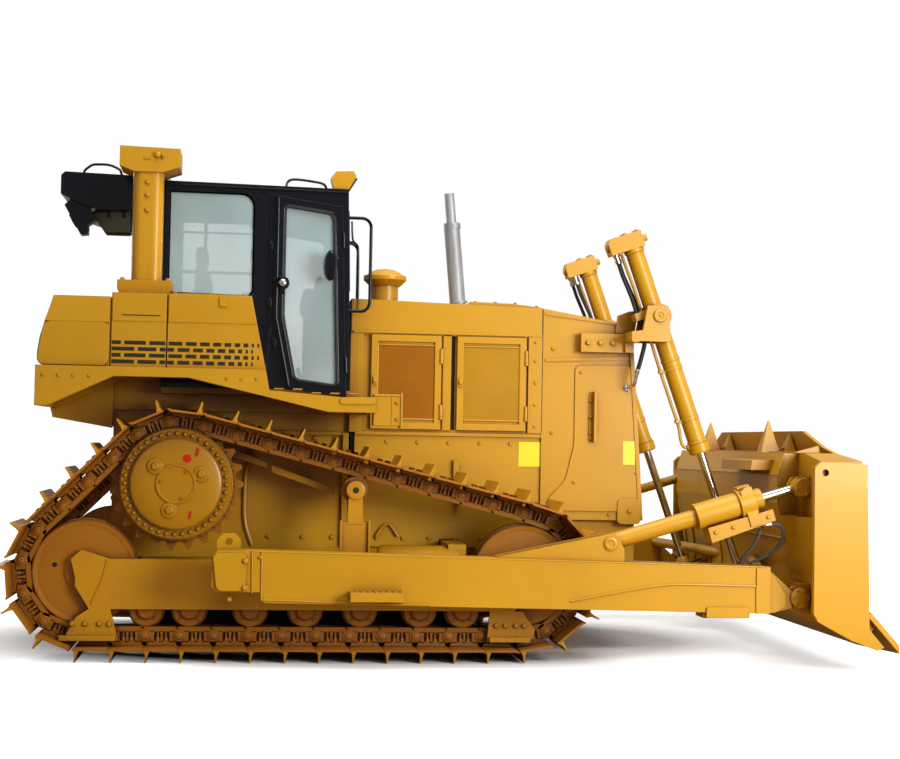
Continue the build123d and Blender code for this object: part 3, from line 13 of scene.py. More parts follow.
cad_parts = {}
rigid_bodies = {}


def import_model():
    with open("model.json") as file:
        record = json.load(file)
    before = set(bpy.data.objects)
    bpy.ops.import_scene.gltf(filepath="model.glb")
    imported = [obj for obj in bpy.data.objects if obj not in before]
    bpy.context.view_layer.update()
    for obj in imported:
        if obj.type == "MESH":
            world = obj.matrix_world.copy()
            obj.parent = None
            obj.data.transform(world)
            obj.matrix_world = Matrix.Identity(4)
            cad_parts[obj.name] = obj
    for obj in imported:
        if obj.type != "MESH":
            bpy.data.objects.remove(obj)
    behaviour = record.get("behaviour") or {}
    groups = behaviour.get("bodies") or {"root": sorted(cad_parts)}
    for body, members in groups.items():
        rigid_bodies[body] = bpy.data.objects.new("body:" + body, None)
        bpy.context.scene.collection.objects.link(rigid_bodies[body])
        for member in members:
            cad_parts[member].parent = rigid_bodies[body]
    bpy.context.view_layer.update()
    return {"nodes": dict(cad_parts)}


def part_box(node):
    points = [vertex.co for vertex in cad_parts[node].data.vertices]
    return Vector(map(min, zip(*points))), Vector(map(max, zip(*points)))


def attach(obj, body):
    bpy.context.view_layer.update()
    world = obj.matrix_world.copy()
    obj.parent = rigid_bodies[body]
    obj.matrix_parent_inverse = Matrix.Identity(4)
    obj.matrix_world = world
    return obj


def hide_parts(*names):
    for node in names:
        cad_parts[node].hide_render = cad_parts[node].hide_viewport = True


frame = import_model()
log = logging.getLogger("dozer")

Point = Sequence[float]
Spots = list[tuple[float, float]]
Tree = bpy.types.NodeTree
Settings = dict[Any, Any]
MM = 0.001
OUT, UP, AHEAD, BACK = (0, 1, 0), (0, 0, 1), (1, 0, 0), (-1, 0, 0)


class Body(str, Enum):
    """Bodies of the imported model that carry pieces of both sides."""

    MACHINE = "machine"
    DOZER = "dozer"


class Side(Enum):
    """Sides of the machine, with the sign of their Y."""

    LEFT = 1
    RIGHT = -1

    @property
    def label(self) -> str:
        """Name used at the end of a node's name."""
        return self.name.lower()


def both(stem: str) -> list[str]:
    """Names of a node that each side has."""
    return [f"{stem}_{side.label}" for side in Side]


# ---------------------------------------------------------------- node helpers
def linear(code: str) -> tuple[float, float, float, float]:
    """Turn an sRGB hex colour into a linear RGBA tuple.

    Args:
        code: Colour as "#rrggbb".

    Returns:
        Linear red, green, blue and an alpha of one.
    """
    channels = [int(code[i:i + 2], 16) / 255 for i in (1, 3, 5)]
    red, green, blue = (c / 12.92 if c <= 0.04045 else ((c + 0.055) / 1.055) ** 2.4 for c in channels)
    return (red, green, blue, 1.0)


def per_metre(millimetres: float) -> float:
    """Scale of a pattern whose features are this far apart."""
    return 1000.0 / millimetres


def set_stops(colours: bpy.types.ColorRamp, stops: Sequence[tuple[float, Any]]) -> None:
    """Give a colour ramp its stops.

    Args:
        colours: The ramp.
        stops: Pairs of a position and an RGBA colour or a grey value.
    """
    while len(colours.elements) < len(stops):
        colours.elements.new(0.5)
    for element, (position, colour) in zip(colours.elements, stops):
        element.position = position
        element.color = (colour, colour, colour, 1.0) if isinstance(colour, float) else colour


def node(tree: Tree, kind: str, settings: Settings | None = None,
         links: Settings | None = None) -> bpy.types.Node:
    """Add one node to a tree.

    Args:
        tree: Node tree that gets the node.
        kind: Blender's name of the node type, without its ShaderNode.
        settings: Values by socket name or index, by attribute name after a dot, or "stops" of a colour ramp.
        links: What feeds each input, by its name or index: an output socket, or a node for its first output.

    Returns:
        The new node.
    """
    made = tree.nodes.new("ShaderNode" + kind)
    for key, value in (settings or {}).items():
        if key == "stops":
            set_stops(made.color_ramp, value)
        elif isinstance(key, str) and key.startswith("."):
            setattr(made, key[1:], value)
        else:
            made.inputs[key].default_value = value
    for key, source in (links or {}).items():
        tree.links.new(source.outputs[0] if isinstance(source, bpy.types.Node) else source, made.inputs[key])
    return made


MULTIPLY = {".data_type": "RGBA", ".blend_type": "MULTIPLY", 0: 1.0}


# ---------------------------------------------------------------- finishes
@dataclass(frozen=True)
class Finish:
    """A finish of the machine, turned into one material when first used."""

    name: str
    colour: str

    def material(self) -> bpy.types.Material:
        """Material of this finish, made once."""
        found = bpy.data.materials.get(self.name)
        if found:
            return found
        made = bpy.data.materials.new(self.name)
        made.use_nodes = True
        tree = made.node_tree
        tree.nodes.clear()
        here = node(tree, "TexCoord").outputs["Object"]
        values, links = self.surface(tree, here)
        shader = node(tree, "BsdfPrincipled", {"Base Color": linear(self.colour)} | values, links)
        node(tree, "OutputMaterial", links={"Surface": shader})
        return made

    def surface(self, tree: Tree, here: Any) -> tuple[Settings, Settings]:
        """Work out what makes the finish look real.

        Args:
            tree: The material's node tree.
            here: Socket of the place on the object at rest, in metres.

        Returns:
            The shader's settings, and what feeds its other inputs.
        """
        raise NotImplementedError


@dataclass(frozen=True)
class PlateEnamel(Finish):
    """Alkyd enamel sprayed over primed steel plate: satin gloss with faint orange peel."""

    # Colour that corners go towards as painted shade.
    shade: str = "#6a3200"
    roughness: float = 0.36
    edge_mm: float = 5.0
    cast: float = 0.0

    def surface(self, tree: Tree, here: Any) -> tuple[Settings, Settings]:
        """Cloudy coverage, painted shade in corners, orange peel and soft edges."""
        # Sprayed coats differ in thickness over about half a metre.
        cloud = node(tree, "TexNoise", {"Scale": per_metre(520.0), "Detail": 3.0}, {"Vector": here})
        cover = node(tree, "ValToRGB", {"stops": [(0.3, 0.90), (0.7, 1.0)]}, {0: cloud})
        # Painted shade: in corners found by the AO, the colour goes towards the deeper shade colour. This
        # stands in for the weaker, warm light that comes off other yellow plates there.
        corner = node(tree, "AmbientOcclusion", {"Distance": 0.32, ".samples": 4}).outputs["AO"]
        corner_shading = node(tree, "ValToRGB", {"stops": [(0.15, linear(self.shade)), (0.85, linear(self.colour))]},
                     {0: corner})
        tinted = node(tree, "Mix", MULTIPLY, {6: corner_shading, 7: cover}).outputs[2]
        # Orange peel is about 2 mm across, drawn at 9 mm; a casting's sand texture of 1 mm at 14 mm.
        grain = {"Scale": per_metre(14.0), "Detail": 3.0} if self.cast else {"Scale": per_metre(9.0),
                                                                             "Detail": 1.0}
        height = node(tree, "TexNoise", grain, {"Vector": here})
        edge = node(tree, "Bevel", {"Radius": self.edge_mm * MM, ".samples": 3})
        bump = node(tree, "Bump", {"Strength": 0.05 + self.cast, "Distance": 0.002},
                    {"Height": height, "Normal": edge})
        return ({"Roughness": self.roughness, "Specular IOR Level": 0.34, "Coat Weight": 0.10,
                 "Coat Roughness": 0.12}, {"Base Color": tinted, "Normal": bump})


@dataclass(frozen=True)
class CabLacquer(Finish):
    """Two-coat blue-black acrylic lacquer on the cab's pressed steel: deep gloss."""

    def surface(self, tree: Tree, here: Any) -> tuple[Settings, Settings]:
        """Clear coat, fine waviness of pressed sheet and soft edges."""
        wave = node(tree, "TexNoise", {"Scale": per_metre(260.0), "Detail": 1.0}, {"Vector": here})
        edge = node(tree, "Bevel", {"Radius": 7.0 * MM, ".samples": 3})
        bump = node(tree, "Bump", {"Strength": 0.10, "Distance": 0.004}, {"Height": wave, "Normal": edge})
        return ({"Roughness": 0.24, "Specular IOR Level": 0.22, "Coat Weight": 0.15, "Coat Roughness": 0.05},
                {"Normal": bump})


@dataclass(frozen=True)
class SafetyGlass(Finish):
    """Tinted laminated glass, part clear and mirror-smooth, under a pale blue-grey painted reflection."""

    haze: float = 0.34

    def surface(self, tree: Tree, here: Any) -> tuple[Settings, Settings]:
        """Painted reflection: a pale see-through cover that is denser in soft bands, as reflections of a hall
        are.
        """
        cloud = node(tree, "TexNoise", {"Scale": per_metre(900.0), "Detail": 2.0}, {"Vector": here})
        band = node(tree, "ValToRGB", {"stops": [(0.35, self.haze - 0.10), (0.65, self.haze + 0.14)]},
                    {0: cloud})
        return ({"Roughness": 0.04, "IOR": 1.52, "Coat Weight": 1.0, "Coat Roughness": 0.02}, {"Alpha": band})


@dataclass(frozen=True)
class HardChrome(Finish):
    """Ground and polished hard chrome on a cylinder rod: bright and smooth."""

    def surface(self, tree: Tree, here: Any) -> tuple[Settings, Settings]:
        """Polished metal with a trace of cloudy wear."""
        cloud = node(tree, "TexNoise", {"Scale": per_metre(60.0), "Detail": 4.0}, {"Vector": here})
        wear = node(tree, "ValToRGB", {"stops": [(0.3, 0.10), (0.8, 0.20)]}, {0: cloud})
        return {"Metallic": 1.0}, {"Roughness": wear}


@dataclass(frozen=True)
class HeatPaint(Finish):
    """Aluminium-pigmented heat paint on the rolled exhaust tube: dull silver grey."""

    def surface(self, tree: Tree, here: Any) -> tuple[Settings, Settings]:
        """Half metallic grey with faint upright streaks from rolling and heat."""
        stretched = node(tree, "Mapping", {"Scale": (1.0, 1.0, 0.15)}, {"Vector": here})
        cloud = node(tree, "TexNoise", {"Scale": per_metre(45.0), "Detail": 3.0}, {"Vector": stretched})
        streak = node(tree, "ValToRGB", {"stops": [(0.3, linear("#85878a")), (0.7, linear(self.colour))]},
                      {0: cloud})
        return {"Metallic": 0.35, "Roughness": 0.48}, {"Base Color": streak}


@dataclass(frozen=True)
class HoseRubber(Finish):
    """Extruded synthetic rubber cover with a cloth-wrap print: matt."""

    def surface(self, tree: Tree, here: Any) -> tuple[Settings, Settings]:
        """Wrap marks 4 mm apart, drawn at 12 mm."""
        wrap = node(tree, "TexNoise", {"Scale": per_metre(12.0), "Detail": 1.0}, {"Vector": here})
        bump = node(tree, "Bump", {"Strength": 0.25, "Distance": 0.001}, {"Height": wrap})
        return {"Roughness": 0.62}, {"Normal": bump}


@dataclass(frozen=True)
class MouldedPlastic(Finish):
    """Grained injection-moulded ABS or rubber trim: dull with a leather-like grain."""

    grain_mm: float = 6.0
    roughness: float = 0.55

    def surface(self, tree: Tree, here: Any) -> tuple[Settings, Settings]:
        """Spark-eroded grain of 1 mm, drawn coarser."""
        cells = node(tree, "TexVoronoi", {"Scale": per_metre(self.grain_mm)},
                     {"Vector": here}).outputs["Distance"]
        bump = node(tree, "Bump", {"Strength": 0.18, "Distance": 0.001}, {"Height": cells})
        return {"Roughness": self.roughness}, {"Normal": bump}


@dataclass(frozen=True)
class SeatCloth(Finish):
    """Woven polyester seat cloth: matt with a twill weave and a light sheen."""

    def surface(self, tree: Tree, here: Any) -> tuple[Settings, Settings]:
        """Yarns are 1 mm apart, drawn at 5 mm so that the twill shows."""
        weave = node(tree, "TexWave", {"Scale": per_metre(5.0) / 6.283, ".bands_direction": "DIAGONAL"},
                     {"Vector": here}).outputs[1]
        bump = node(tree, "Bump", {"Strength": 0.3, "Distance": 0.001}, {"Height": weave})
        return {"Roughness": 0.9, "Sheen Weight": 0.3}, {"Normal": bump}


@dataclass(frozen=True)
class PunchedScreen(Finish):
    """Punched steel sheet, enamelled: rows of round holes that look like a fine mesh."""

    # Colour in the holes: painted shade of the space behind the sheet.
    behind: str = "#6e3c04"

    def surface(self, tree: Tree, here: Any) -> tuple[Settings, Settings]:
        """Holes 6 mm apart, drawn at 10 mm in staggered rows, painted with the dark colour of the shade
        behind the sheet.
        """
        turned = node(tree, "Mapping", {"Rotation": (0.0, math.radians(45.0), 0.0), "Scale": (1.0, 0.0, 1.0)},
                      {"Vector": here})
        holes = node(tree, "TexVoronoi", {"Scale": per_metre(10.0), "Randomness": 0.0},
                     {"Vector": turned}).outputs["Distance"]
        sheet = node(tree, "ValToRGB", {"stops": [(0.20, linear(self.behind)), (0.30, linear(self.colour))]},
                     {0: holes})
        cloud = node(tree, "TexNoise", {"Scale": per_metre(380.0), "Detail": 2.0}, {"Vector": here})
        shadow = node(tree, "ValToRGB", {"stops": [(0.3, 0.82), (0.7, 1.0)]}, {0: cloud})
        tinted = node(tree, "Mix", MULTIPLY, {6: sheet, 7: shadow}).outputs[2]
        bump = node(tree, "Bump", {"Strength": 0.4, "Distance": 0.001}, {"Height": holes})
        return {"Roughness": 0.5, "Specular IOR Level": 0.12}, {"Base Color": tinted, "Normal": bump}


@dataclass(frozen=True)
class Vinyl(Finish):
    """Calendered vinyl film or brushed-on paint: flat colour under a smooth, slightly glossy face."""

    def surface(self, tree: Tree, here: Any) -> tuple[Settings, Settings]:
        """Small bubbles of trapped air, 30 mm apart."""
        bubbles = node(tree, "TexNoise", {"Scale": per_metre(30.0), "Detail": 1.0}, {"Vector": here})
        bump = node(tree, "Bump", {"Strength": 0.05, "Distance": 0.001}, {"Height": bubbles})
        return {"Roughness": 0.32}, {"Normal": bump}


ENAMEL = PlateEnamel("enamelled_plate", "#cb9515")
CAST_ENAMEL = PlateEnamel("enamelled_casting", "#c88c10", shade="#5c2c00", roughness=0.42, cast=0.12)
# Darker and more orange than the body's enamel, as painted shade of the undercarriage low under the machine.
TRACK_ENAMEL = PlateEnamel("enamelled_track_forging", "#b06e0c", shade="#4c1f00", roughness=0.46, edge_mm=3.0,
                           cast=0.15)
DRIVE_ENAMEL = PlateEnamel("enamelled_drive_casting", "#b37c08", shade="#522400", roughness=0.34, edge_mm=4.0)
LACQUER = CabLacquer("blue_black_lacquer", "#070b14")
GLASS = SafetyGlass("laminated_glass", "#c3dce1")
CHROME = HardChrome("hard_chrome", "#d2d4d6")
HEAT_PAINT = HeatPaint("aluminium_heat_paint", "#a9abad")
RUBBER = HoseRubber("hose_rubber", "#0c0c0d")
BRAID = HoseRubber("braided_hose", "#4b4c47")
SEAL = MouldedPlastic("rubber_seal", "#101114", grain_mm=9.0, roughness=0.6)
# Near-black for dark sheets that stand for deep shade.
SHADE_BLACK = MouldedPlastic("matt_black_primer", "#0c0602", grain_mm=9.0, roughness=0.95)
TRIM = MouldedPlastic("grey_abs_trim", "#3a4247")
CLOTH = SeatCloth("woven_seat_cloth", "#33424a")
# The rear doors' screen is a darker copy of the front one: painted shade towards the machine's rear.
SHADED_REAR_SCREEN = PunchedScreen("punched_screen_shaded", "#a8680a", behind="#6c3a02")
FRONT_SCREEN = PunchedScreen("punched_screen", "#bc8c1c", behind="#8e6012")
CORE = PunchedScreen("radiator_fins", "#3a3b3c", behind="#0a0a0a")
PLATE_VINYL = Vinyl("yellow_vinyl_plate", "#ead91c")
BRICK_VINYL = Vinyl("dark_vinyl_stripe", "#2c2511")
RED_MARK = Vinyl("red_paint_mark", "#c01a10")
LENS = Vinyl("lamp_lens", "#e6e2d2")
OLIVE = MouldedPlastic("olive_air_box", "#4c4d3c", roughness=0.5)


# ---------------------------------------------------------------- outlines
def ring(centre: Vector, first: Vector, second: Vector, radius: float, count: int) -> list[Vector]:
    """Points evenly round a centre, from one unit direction towards a second one square to it."""
    angles = [step * math.tau / count for step in range(count)]
    return [centre + (first * math.cos(angle) + second * math.sin(angle)) * radius for angle in angles]


def arc(centre: Point, radius: float, start_deg: float, end_deg: float, steps: int = 6) -> Spots:
    """Points of an arc in a plane of two axes.

    Args:
        centre: Centre of the arc.
        radius: Its radius.
        start_deg: Angle of the first point.
        end_deg: Angle of the last point.
        steps: Number of straight runs.

    Returns:
        The arc's points, both ends included.
    """
    angles = [math.radians(start_deg + (end_deg - start_deg) * i / steps) for i in range(steps + 1)]
    return [(centre[0] + radius * math.cos(a), centre[1] + radius * math.sin(a)) for a in angles]


def circle(centre: Point, radius: float, count: int, turn_deg: float = 0.0) -> Spots:
    """Spots evenly round a centre in a plane of two axes."""
    return arc(centre, radius, turn_deg, turn_deg + 360, count)[:-1]


def box(x0: float, z0: float, x1: float, z1: float) -> Spots:
    """Corners of a rectangle."""
    return [(x0, z0), (x1, z0), (x1, z1), (x0, z1)]


def softened(before: Vector, corner: Vector, after: Vector, cut: float, steps: int) -> list[Vector]:
    """Curve that rounds one corner.

    Args:
        before: The corner before it.
        corner: The corner.
        after: The corner after it.
        cut: How far from the corner the curve starts and ends.
        steps: Number of straight runs.

    Returns:
        The curve's points, both ends included.
    """
    start = corner + (before - corner).normalized() * cut
    end = corner + (after - corner).normalized() * cut
    shares = [step / steps for step in range(steps + 1)]
    return [start * (1 - t) ** 2 + corner * 2 * t * (1 - t) + end * t * t for t in shares]


def rounded(outline: Sequence[Point], radius: float, steps: int = 4) -> Spots:
    """Round each corner of a closed outline.

    Args:
        outline: Corners in order.
        radius: Cut-back of each corner.
        steps: Straight runs for each corner.

    Returns:
        The new outline.
    """
    corners = [Vector(corner) for corner in outline]
    made: Spots = []
    for index, here in enumerate(corners):
        before, after = corners[index - 1], corners[(index + 1) % len(corners)]
        cut = min(radius, (before - here).length / 2, (after - here).length / 2)
        made += [tuple(spot) for spot in softened(before, here, after, cut, steps)]
    return made


# ---------------------------------------------------------------- shapes
class Form:
    """Mesh in the making: solids are added in millimetres in the machine's frame."""

    def __init__(self) -> None:
        """Start with no solids."""
        self.mesh = bmesh.new()

    def loop(self, points: Iterable[Point]) -> list[bmesh.types.BMVert]:
        """Add one vertex for each point."""
        return [self.mesh.verts.new(Vector(point) * MM) for point in points]

    def skin(self, rings: Sequence[Sequence[bmesh.types.BMVert]], closed: bool = False) -> "Form":
        """Join rings of equal length and close both ends.

        Args:
            rings: Rings of vertices in order.
            closed: Whether the last ring meets the first, as round a hoop.

        Returns:
            This form.
        """
        pairs = list(zip(rings, rings[1:])) + ([(rings[-1], rings[0])] if closed else [])
        for low, high in pairs:
            for index in range(len(low)):
                after = (index + 1) % len(low)
                self.mesh.faces.new((low[index], low[after], high[after], high[index]))
        if not closed:
            self.mesh.faces.new(list(reversed(rings[0])))
            self.mesh.faces.new(rings[-1])
        return self

    def prism(self, outline: Sequence[Point], low: float, high: float) -> "Form":
        """Outline of (x, z) points run along Y from one place to another."""
        return self.skin([self.loop((x, y, z) for x, z in outline) for y in (low, high)])

    def sheet(self, outline: Sequence[Point], through: Point) -> "Form":
        """Flat outline of 3-D points given a thickness by a vector."""
        shift = Vector(through)
        return self.skin([self.loop(outline), self.loop(Vector(p) + shift for p in outline)])

    def block(self, low: Point, high: Point) -> "Form":
        """Box between two corners."""
        return self.prism(box(low[0], low[2], high[0], high[2]), low[1], high[1])

    def lathe(self, foot: Point, axis: Point, profile: Sequence[tuple[float, float]],
              sides: int = 32) -> "Form":
        """Turned shape.

        Args:
            foot: Start of the axis.
            axis: Direction of the axis.
            profile: Pairs of a distance along the axis and a radius.
            sides: Number of flats round it.

        Returns:
            This form.
        """
        line = Vector(axis).normalized()
        first = line.orthogonal().normalized()
        second = line.cross(first)
        return self.skin([self.loop(ring(Vector(foot) + line * along, first, second, max(radius, 0.05),
                                         sides)) for along, radius in profile])

    def rod(self, start: Point, end: Point, radius: float, sides: int = 20) -> "Form":
        """Round bar between two points."""
        span = Vector(end) - Vector(start)
        return self.lathe(start, span, [(0, radius), (span.length, radius)], sides)

    def bolt(self, spot: Point, facing: Point, across: float = 24.0, height: float = 10.0) -> "Form":
        """Bolt head on its washer.

        Args:
            spot: Point on the surface that carries it.
            facing: Direction away from the surface.
            across: Size across the corners.
            height: Height of the head.

        Returns:
            This form.
        """
        washer = across * 0.10
        self.lathe(spot, facing, [(-1, across * 0.68), (washer, across * 0.68)], 12)
        head = washer + height
        return self.lathe(spot, facing, [(0, across / 2), (head - across * 0.08, across / 2),
                                         (head, across * 0.40)], 6)

    def bolts(self, y: float, spots: Iterable[Point], across: float, height: float) -> "Form":
        """Bolt heads of one size at (x, z) spots of a side face."""
        for x, z in spots:
            self.bolt((x, y, z), OUT, across, height)
        return self

    def pipe(self, route: Sequence[Point], radius: float, sides: int = 10, rounds: int = 6) -> "Form":
        """Round tube along a smooth curve through points.

        Args:
            route: Points that the tube passes through.
            radius: Radius of the tube.
            sides: Number of flats round it.
            rounds: Steps between two points.

        Returns:
            This form.
        """
        points = [Vector(p) for p in route]
        padded = [points[0] * 2 - points[1]] + points + [points[-1] * 2 - points[-2]]
        line: list[Vector] = []
        for a, b, c, d in zip(padded, padded[1:], padded[2:], padded[3:]):
            for step in range(rounds):
                t = step / rounds
                line.append(0.5 * (2 * b + (c - a) * t + (2 * a - 5 * b + 4 * c - d) * t * t
                                   + (3 * b - a - 3 * c + d) * t ** 3))
        line.append(points[-1])
        side = (line[1] - line[0]).orthogonal().normalized()
        rings = []
        for index, centre in enumerate(line):
            ahead = line[min(index + 1, len(line) - 1)] - line[max(index - 1, 0)]
            ahead.normalize()
            side = (side - ahead * side.dot(ahead)).normalized()
            rings.append(self.loop(ring(centre, side, ahead.cross(side), radius, sides)))
        return self.skin(rings)

    def flat_pipe(self, y: float, route: Sequence[Point], radius: float, sides: int = 10,
                  rounds: int = 6) -> "Form":
        """Round tube through (x, z) points in an upright plane."""
        return self.pipe([(x, y, z) for x, z in route], radius, sides, rounds)

    def hoop(self, y: float, corners: Sequence[Point], radius: float) -> "Form":
        """Closed round bead that passes round a ring of (x, z) corners in an upright plane."""
        return self.bead([Vector((x, y, z)) for x, z in corners], radius)

    def bead(self, points: Sequence[Vector], radius: float, sides: int = 8) -> "Form":
        """Closed round bead.

        Args:
            points: Ring of points that it passes round.
            radius: Radius of the bead.
            sides: Number of flats round it.

        Returns:
            This form.
        """
        normal = (points[1] - points[0]).cross(points[2] - points[1]).normalized()
        rings = []
        for index, point in enumerate(points):
            out = ((point - points[index - 1]).normalized()
                   + (point - points[(index + 1) % len(points)]).normalized()).normalized()
            rings.append(self.loop(ring(point, out, normal, radius, sides)))
        return self.skin(rings, closed=True)

    def mirrored(self) -> "Form":
        """Add the mirror image of all that is in the form, on the machine's other side."""
        parts = [*self.mesh.verts, *self.mesh.edges, *self.mesh.faces]
        for copied in bmesh.ops.duplicate(self.mesh, geom=parts)["geom"]:
            if isinstance(copied, bmesh.types.BMVert):
                copied.co.y = -copied.co.y
        return self

    def on_side(self, side: Side) -> "Form":
        """Move the form to one side; forms are drawn on the left."""
        for vert in self.mesh.verts:
            vert.co.y *= side.value
        return self

    def side_piece(self, side: Side, stem: str, *settings: Any, **named: Any) -> bpy.types.Object:
        """Close the form on one side, as a piece whose name ends with the side's."""
        return self.on_side(side).piece(f"{stem}_{side.label}", *settings, **named)

    def piece(self, name: str, finish: Finish, body: str = Body.MACHINE, edge_mm: float = 0.0,
              smooth_deg: float = 35.0) -> bpy.types.Object:
        """Close the form as one piece of the scene.

        Args:
            name: Name of the piece.
            finish: Its finish.
            body: Body that it rides on.
            edge_mm: Radius of a modelled edge round, or zero.
            smooth_deg: Angle under which faces blend smoothly.

        Returns:
            The new object.
        """
        bmesh.ops.recalc_face_normals(self.mesh, faces=self.mesh.faces)
        mesh = bpy.data.meshes.new(name)
        self.mesh.to_mesh(mesh)
        self.mesh.free()
        mesh.shade_smooth()
        mesh.set_sharp_from_angle(angle=math.radians(smooth_deg))
        mesh.materials.append(finish.material())
        made = placed(name, mesh)
        if edge_mm:
            edge = made.modifiers.new("edge_round", "BEVEL")
            edge.width = edge_mm * MM
            edge.segments = 2
            edge.limit_method = "ANGLE"
            edge.angle_limit = math.radians(38.0)
            edge.harden_normals = True
        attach(made, body)
        return made


def placed(name: str, data: Any) -> bpy.types.Object:
    """Put a mesh, a lamp or a camera in the scene as an object."""
    made = bpy.data.objects.new(name, data)
    bpy.context.scene.collection.objects.link(made)
    return made


def dress(names: Iterable[str], finish: Finish) -> None:
    """Give CAD nodes a finish.

    Args:
        names: Names of the nodes.
        finish: Their finish.
    """
    for name in names:
        slots = frame["nodes"][name].data.materials
        slots.clear()
        slots.append(finish.material())


# ---------------------------------------------------------------- undercarriage
@dataclass
class Track:
    """Crawler track: link rails on pins, shoes with one tall lug, and their bolts."""

    gauge_half: float = 990.0
    shoe_width: float = 560.0
    pitch: float = 217.0
    links: int = 39
    start: float = 173.0
    teeth: int = 23
    rear_idler_x: float = -2296.0
    sprocket: tuple[float, float] = (-1729.0, 570.0)
    above: float = 62.0
    plate: float = 16.0
    lug: float = 71.0
    rail_y: tuple[float, float] = (45.0, 85.0)
    boss_radius: float = 41.0

    def pins(self) -> list[Vector]:
        """Pin centres round the chain in the plane of X and Z, from the ground run's rear."""
        turn = 4 * math.pi / self.teeth
        radius = self.pitch / 2 / math.sin(turn / 2)
        low = radius + self.above + self.plate + self.lug + 1.0
        leg = math.hypot(self.sprocket[0] - self.rear_idler_x, self.sprocket[1])
        rest = self.links * self.pitch - self.pitch * math.tau / turn - leg
        front = self.rear_idler_x + (rest ** 2 - leg ** 2) / (2
                                                              * (rest - self.sprocket[0]
                                                                 + self.rear_idler_x))
        wheels = [Vector((self.rear_idler_x, low)), Vector((front, low)),
                  Vector((self.sprocket[0], low + self.sprocket[1]))]
        runs = list(zip(wheels, wheels[1:] + wheels[:1]))
        headings = [math.atan2(after.y - here.y, after.x - here.x) for here, after in runs]
        found: list[Vector] = []
        travel = self.start
        for index, (here, after) in enumerate(runs):
            heading, length = headings[index], (after - here).length
            along = Vector((math.cos(heading), math.sin(heading)))
            while travel < length:
                found.append(here + along * travel + Vector((along.y, -along.x)) * radius)
                travel += self.pitch
            travel -= length
            sweep = (headings[(index + 1) % 3] - heading) % math.tau / turn * self.pitch
            while travel < sweep:
                angle = heading + travel / self.pitch * turn
                found.append(after + Vector((math.sin(angle), -math.cos(angle))) * radius)
                travel += self.pitch
            travel -= sweep
        return found[:self.links]

    def build(self) -> None:
        """Make both tracks from one chain of links."""
        for side in Side:
            form, lugs, bolts = Form(), Form(), Form()
            pins = self.pins()
            for index, pin in enumerate(pins):
                self.link(form, lugs, bolts, pin, pins[(index + 1) % len(pins)])
            chain = form.side_piece(side, "track_chain", TRACK_ENAMEL, smooth_deg=30)
            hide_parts(f"track_{side.label}")
            lugs.side_piece(side, "track_lugs", CAST_ENAMEL)
            bolts.side_piece(side, "track_bolts", TRACK_ENAMEL)
        log.info("tracks: %d links each", self.links)

    def link(self, form: Form, lugs: Form, bolts: Form, pin: Vector, after: Vector) -> None:
        """Add one link: two rails, their bosses, the shoe with its lug and four bolts.

        Args:
            form: Form that gets the forged and rolled parts.
            lugs: Form that gets the shoe's lug.
            bolts: Form that gets the bolts.
            pin: The link's rear pin.
            after: The link's front pin.
        """
        along = (after - pin).normalized()
        out = Vector((along.y, -along.x))

        def spot(run: float, rise: float) -> tuple[float, float]:
            """Point of the link by its distance along and out from the pins."""
            return tuple(pin + along * run + out * rise)

        pitch = self.pitch
        for sign in (-1, 1):
            inner, outer = self.gauge_half + sign * self.rail_y[0], self.gauge_half + sign * self.rail_y[1]
            # running band under two windows, and the pads that carry the shoe
            form.prism([spot(-26, -52), spot(-14, -58), spot(pitch - 14, -58), spot(pitch - 3, -50),
                        spot(pitch - 26, -26), spot(18, -26)], inner, outer)
            form.prism([spot(26, 34), spot(190, 34), spot(202, 62), spot(14, 62)], inner, outer)
            for low, high in ((-6, 62), (96, 118), (154, 222)):
                form.prism([spot(low, -30), spot(high, -30), spot(high - 5, 4), spot(high, 40), spot(low, 40),
                            spot(low + 5, 4)], inner, outer)
            # the web behind the windows
            form.prism([spot(x, z) for x, z in box(50, -30, 170, 40)], inner, inner + (outer - inner) * 0.35)
            # pin boss of the front end, stepped outwards, with the pin's end in it
            boss = [(0, self.boss_radius), (40, self.boss_radius), (46, self.boss_radius - 5)]
            form.lathe((after.x, inner, after.y), (0, sign, 0), boss, 20)
            form.lathe((after.x, outer + sign * 6, after.y), (0, sign, 0), [(0, 23), (5, 23), (7, 19)], 16)
        form.lathe((after.x, self.gauge_half - 45, after.y), OUT, [(0, 33), (90, 33)], 16)
        # shoe: rolled plate whose front edge laps over the next one
        half = self.shoe_width / 2
        low_y, high_y = self.gauge_half - half, self.gauge_half + half
        face = self.above + self.plate
        form.prism([spot(4, self.above + 3), spot(206, self.above), spot(222, self.above + 8),
                    spot(230, face + 3), spot(222, face + 6), spot(207, face), spot(6, face - 1),
                    spot(0, face - 7)], low_y, high_y)
        lugs.prism([spot(44, face - 1), spot(34, face + 22), spot(23, face + self.lug),
                    spot(14, face + self.lug), spot(16, face + 20), spot(6, face - 2)], low_y + 0.5,
                   high_y - 0.5)
        for run in (82, 132):
            for sign in (-1, 1):
                middle = self.gauge_half + sign * 65
                x, z = spot(run, face)
                bolts.bolt((x, middle, z), (out.x, 0, out.y), 30, 14)
                for rise, profile, sides in ((40, [(-2, 17), (24, 17), (28, 13)], 6),
                                             (12, [(0, 9), (40, 9)], 8)):
                    x, z = spot(run, rise)
                    bolts.lathe((x, middle + sign * 4, z), (-out.x, 0, -out.y), profile, sides)


